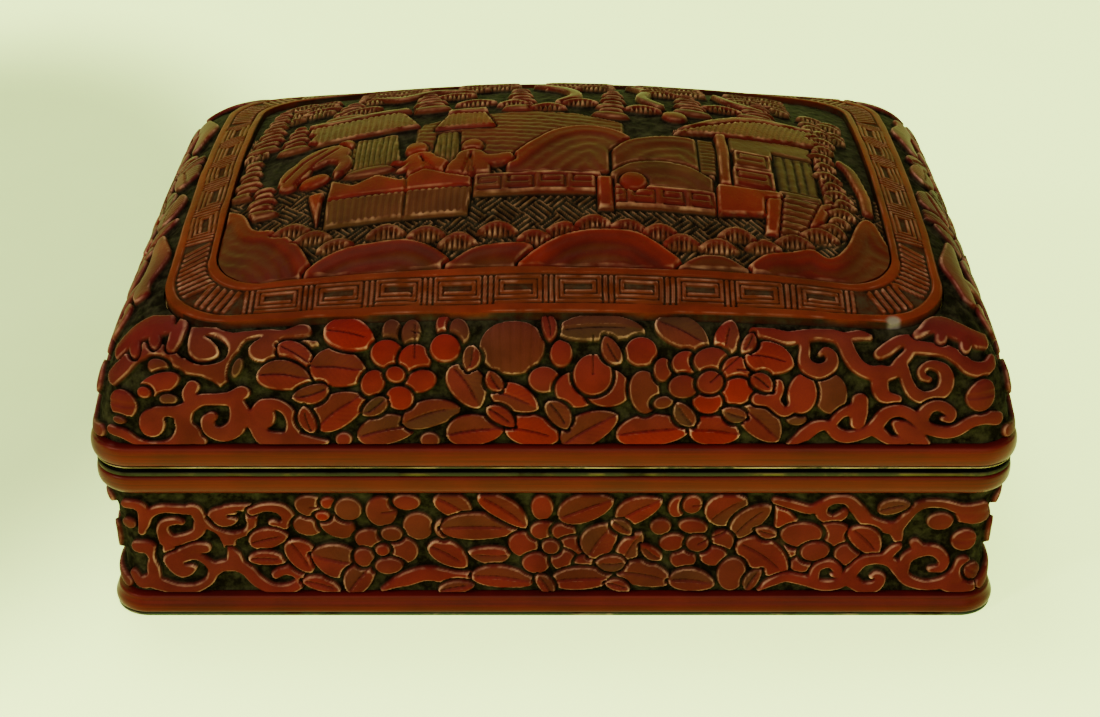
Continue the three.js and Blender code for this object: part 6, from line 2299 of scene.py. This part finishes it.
@dataclass
class LacquerBase:
    """Base: four friezes between two mouldings, two wires, the lip band and the black lining.

    Args:
        form: the box's sizes.
        finishes: the materials.
        rows: rows of points up a frieze.
        foot: height of the friezes' foot.
        top: height of their top.
        waist: how far the wall draws in between the mouldings.
        foot_inset: how far the wall's foot stands in from the rim.
        lean: how much less far its top stands in.
        coat_inset: how far in the back of the coat lies.
        leafy: how far from a side's middle bare ground is filled, on a long side and on a short one.
        lining_out: inset of the lining's outer face.
        lining_in: inset of its inner face.
        lining_top: height of the lining's top.
        floor: height of its floor.
        under: height of the floor's underside.
    """

    form: BoxForm
    finishes: Finishes
    rows: int = 98
    foot: float = 4.1
    top: float = 24.6
    waist: float = 0.9
    foot_inset: float = 1.1
    lean: float = 0.4
    coat_inset: float = 3.9
    leafy: Spot = (42.0, 19.0)
    lining_out: float = 5.3
    lining_in: float = 5.9
    lining_top: float = 22.7
    floor: float = 3.45
    under: float = 2.25

    def build(self) -> None:
        """Builds and dresses every piece of the base."""
        self.friezes()
        self.mouldings()
        self.inside()

    def friezes(self) -> None:
        """Carves the four friezes of the wall."""
        form = self.form
        z = np.linspace(self.foot, self.top, self.rows)[:, None]
        share = (z - self.foot) / (self.top - self.foot)
        inset = self.foot_inset - self.lean * share + self.waist * np.sin(math.pi * share)
        outline = Outline.round_box(*CARVED_STEPS)
        x, half = outline.drawn(form.half_long - inset, form.half_wide - inset, form.corner - inset)
        band = CarvedBand(outline, x, half, z[:, 0], seed=61)
        for side, motifs in enumerate((BASE_FRONT, BASE_SIDE) * 2):
            band.carve_side(side, motifs, self.leafy[side % 2])
        spots = form.wall_points(outline, inset, z)
        back = form.wall_points(outline, np.full_like(inset, self.coat_inset), z)
        pieces = carved_sides(form, band, spots, back,
                              lambda depth: form.wall_points(outline, inset + depth, z), "base_frieze")
        for word, piece in zip(SIDES, pieces):
            dress(piece, "base", Finish.CARVED, self.finishes.carved, f"base_frieze_{word}")

    def turned(self, name: str, section: Sequence[Spot], finish: Finish, material: bpy.types.Material,
               node: str, rough: float = 0.03) -> None:
        """Runs a section round the box and dresses the piece.

        Args:
            name: the piece's name.
            section: insets and heights, from the outer foot up and back down inside.
            finish: its finish slot.
            material: its material.
            node: the CAD node that it stands for.
            rough: its small unevenness.
        """
        outline = Outline.round_box(*PLAIN_STEPS).closed()
        points = np.stack([self.form.wall_points(outline, inset, height) for inset, height in section])
        points = points + rough * ripple(points, 9, 78)[..., None] * np.array([1, 1, 0.3])
        dress(make_hoop(name, points), "base", finish, material, node)

    def mouldings(self) -> None:
        """Builds the mouldings and wires of the base."""
        # Each section gives insets and heights, from the outer foot up and back down inside
        upper = ((1.1, 24.94), (0.92, 25.1), (0.62, 25.4), (0.36, 25.8), (0.2, 26.3), (0.16, 26.8), (0.16, 27.4),
                 (0.2, 27.9), (0.3, 28.28), (0.5, 28.42), (0.8, 28.5), (3.9, 28.5), (3.9, 26.5), (3.9, 24.94))
        self.turned("base_upper_moulding_brushed", upper, Finish.CARVED, self.finishes.moulding,
                    "base_upper_moulding")
        foot = ((0.66, 0.72), (0.5, 0.86), (0.42, 1.2), (0.42, 1.7), (0.5, 2.1), (0.7, 2.5), (0.9, 2.9),
                (1.04, 3.3), (1.14, 3.62), (1.35, 3.76), (2.4, 3.78), (3.9, 3.78), (3.9, 2.2), (3.9, 0.72))
        self.turned("base_foot_moulding_brushed", foot, Finish.CARVED, self.finishes.moulding,
                    "base_foot_moulding")
        rim = ((5, 28.52), (0.6, 28.6), (0.42, 28.7), (0.36, 28.95), (0.38, 29.16), (0.46, 29.28), (0.6, 29.31),
               (0.72, 29.2), (0.8, 28.62), (1.4, 28.58), (4.85, 28.58), (4.98, 28.56))
        self.turned("base_rim_wire_drawn", rim, Finish.TARNISHED, self.finishes.rim, "base_rim_wire", 0.02)
        wire = ((3.9, 0), (0.75, 0), (0.62, 0.06), (0.6, 0.2), (0.64, 0.34), (0.8, 0.4), (3.9, 0.4))
        self.turned("base_foot_wire_drawn", wire, Finish.TARNISHED, self.finishes.tarnished,
                    "base_foot_wire", 0.0)

    def inside(self) -> None:
        """Builds the lip band and the black lining."""
        lip = ((5.3, 23.02), (5.3, 28), (5.3, 33.3), (5.38, 33.52), (5.6, 33.6), (5.82, 33.52), (5.9, 33.3),
               (5.9, 28), (5.9, 23.02))
        self.turned("base_lip_band_rolled", lip, Finish.BRASS, self.finishes.brass, "base_lip_band", 0.015)
        outline = Outline.round_box(*LINING_STEPS).closed()
        form, floor, top = self.form, self.floor, self.lining_top
        outer = [form.wall_points(outline, self.lining_out, z) for z in np.linspace(self.under, top, 8)]
        inner = [form.wall_points(outline, self.lining_in, z) for z in np.linspace(top, floor + 0.6, 8)]
        # The inner corner is rounded, and rings that shrink to the middle close the floor
        floor_inset, floor_corner = 6.45, 0.55
        hollow = ((5.95, floor + 0.3), (6.12, floor + 0.08), (floor_inset, floor))
        inner += [form.wall_points(outline, inset, z) for inset, z in hollow]
        shares = 1 - np.linspace(0, 1, 15)[1:, None]
        halves = (form.half_long - floor_inset) * shares, (form.half_wide - floor_inset) * shares
        spread = form.top_points(*outline.place(*halves, floor_corner * shares), 0.0)
        upper, lower = spread.copy(), spread[::-1].copy()
        upper[..., 2], lower[..., 2] = floor, self.under
        piece = make_hoop("base_lining_smooth", np.concatenate([np.stack(outer + inner), upper, lower]))
        dress(piece, "base", Finish.BLACK, self.finishes.black, "base_black_lining")


@dataclass
class Studio:
    """Paper sweep, soft lights and camera.

    Args:
        reach: how far the paper reaches to each side, in metres.
        bend: where the paper starts to rise behind the box.
        curve: radius of the rise.
        top: height of the paper's upper edge.
        softbox: power of the light overhead, in watts.
        fill: power of the large light in front.
        lamp: power of the small lamp at the left.
        room: strength of the room's even light.
        eye: where the camera stands, in metres.
        tilt: its angle from straight down, in degrees.
        focal: its focal length in millimetres.
        shift: how far its picture is shifted sideways.
    """

    reach: float = 3.0
    bend: float = 1.6
    curve: float = 0.7
    top: float = 2.4
    softbox: float = 8.0
    fill: float = 40.0
    lamp: float = 7.0
    room: float = 0.3
    eye: tuple[float, float, float] = (0, -0.31224, 0.20325)
    tilt: float = 59.7
    focal: float = 62.84
    shift: float = -0.0036

    def build(self) -> None:
        """Builds the paper, the lights and the camera."""
        self.paper()
        self.light("softbox_overhead", (-0.25, 0.3, 1.1), (0, 0, 0.03), 0.4, self.softbox)
        self.light("fill_in_front", (0.1, -1.5, 1.1), (0, 0, 0.04), 2.0, self.fill)
        self.light("lamp_at_left", (-0.8, -0.55, 0.55), (0, 0, 0.04), 0.16, self.lamp)
        self.surroundings()
        self.camera()

    def paper(self) -> None:
        """Lays the paper on the table and lifts it behind the box."""
        turn = np.linspace(0, math.pi / 2, 13)[1:]
        flat = np.array([-self.reach, *np.linspace(-1, self.bend, 8)])
        y = np.concatenate([flat, self.bend + self.curve * np.sin(turn), [self.bend + self.curve]])
        z = np.concatenate([np.zeros(flat.size), self.curve - self.curve * np.cos(turn), [self.top]])
        x = np.linspace(-self.reach, self.reach, 9)
        points = np.stack(np.broadcast_arrays(x[None, :], y[:, None], z[:, None]), axis=-1) / MM
        sweep = make_mesh("studio_paper", points.reshape(-1, 3), grid_quads(len(y), len(x)))
        sweep.data.materials.append(StudioPaper().build())

    def light(self, name: str, spot: tuple[float, float, float], aim: tuple[float, float, float],
              size: float, power: float) -> None:
        """Hangs a square softbox.

        Args:
            name: the light's name.
            spot: where it hangs, in metres.
            aim: what it points at.
            size: its side.
            power: its power in watts.
        """
        lamp = bpy.data.lights.new(name, "AREA")
        lamp.size, lamp.energy = size, power
        lamp.color = linear(0xFFFFFA)[:3]
        box = bpy.data.objects.new(name, lamp)
        box.location = spot
        ahead = np.array(aim) - np.array(spot)
        tilt, turn = math.acos(-ahead[2] / np.linalg.norm(ahead)), math.atan2(ahead[1], ahead[0])
        box.rotation_euler = (tilt, 0, turn - math.pi / 2)
        bpy.context.scene.collection.objects.link(box)

    def surroundings(self) -> None:
        """Fills the room with pale even light."""
        world = bpy.data.worlds.new("pale_room")
        world.use_nodes = True
        ground = world.node_tree.nodes["Background"]
        ground.inputs["Color"].default_value = linear(0xEEF2DC)
        ground.inputs["Strength"].default_value = self.room
        bpy.context.scene.world = world

    def camera(self) -> None:
        """Sets the camera at the photograph's viewing angle."""
        lens = bpy.data.cameras.new("front_camera")
        lens.lens, lens.sensor_width, lens.shift_x = self.focal, 36, self.shift
        eye = bpy.data.objects.new("front_camera", lens)
        eye.location = self.eye
        eye.rotation_euler = (math.radians(self.tilt), 0, 0)
        bpy.context.scene.collection.objects.link(eye)
        bpy.context.scene.camera = eye


def main() -> None:
    """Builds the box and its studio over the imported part."""
    logging.basicConfig(level=logging.INFO, format="%(message)s")
    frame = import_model()
    finishes = Finishes()
    Studio().build()
    CarvedLid(BoxForm(), finishes).build()
    LacquerBase(BoxForm(), finishes).build()
    kept = {"lid_brass_shell": finishes.brass, "base_brass_wall": finishes.brass, "base_brass_bottom": finishes.brass,
            "base_black_underside": finishes.black}
    for name, material in kept.items():
        node = frame["nodes"][name]
        node.data.materials.clear()
        node.data.materials.append(material)
        LOG.info("%s: CAD solid kept", name)


if __name__ == "__main__":
    main()
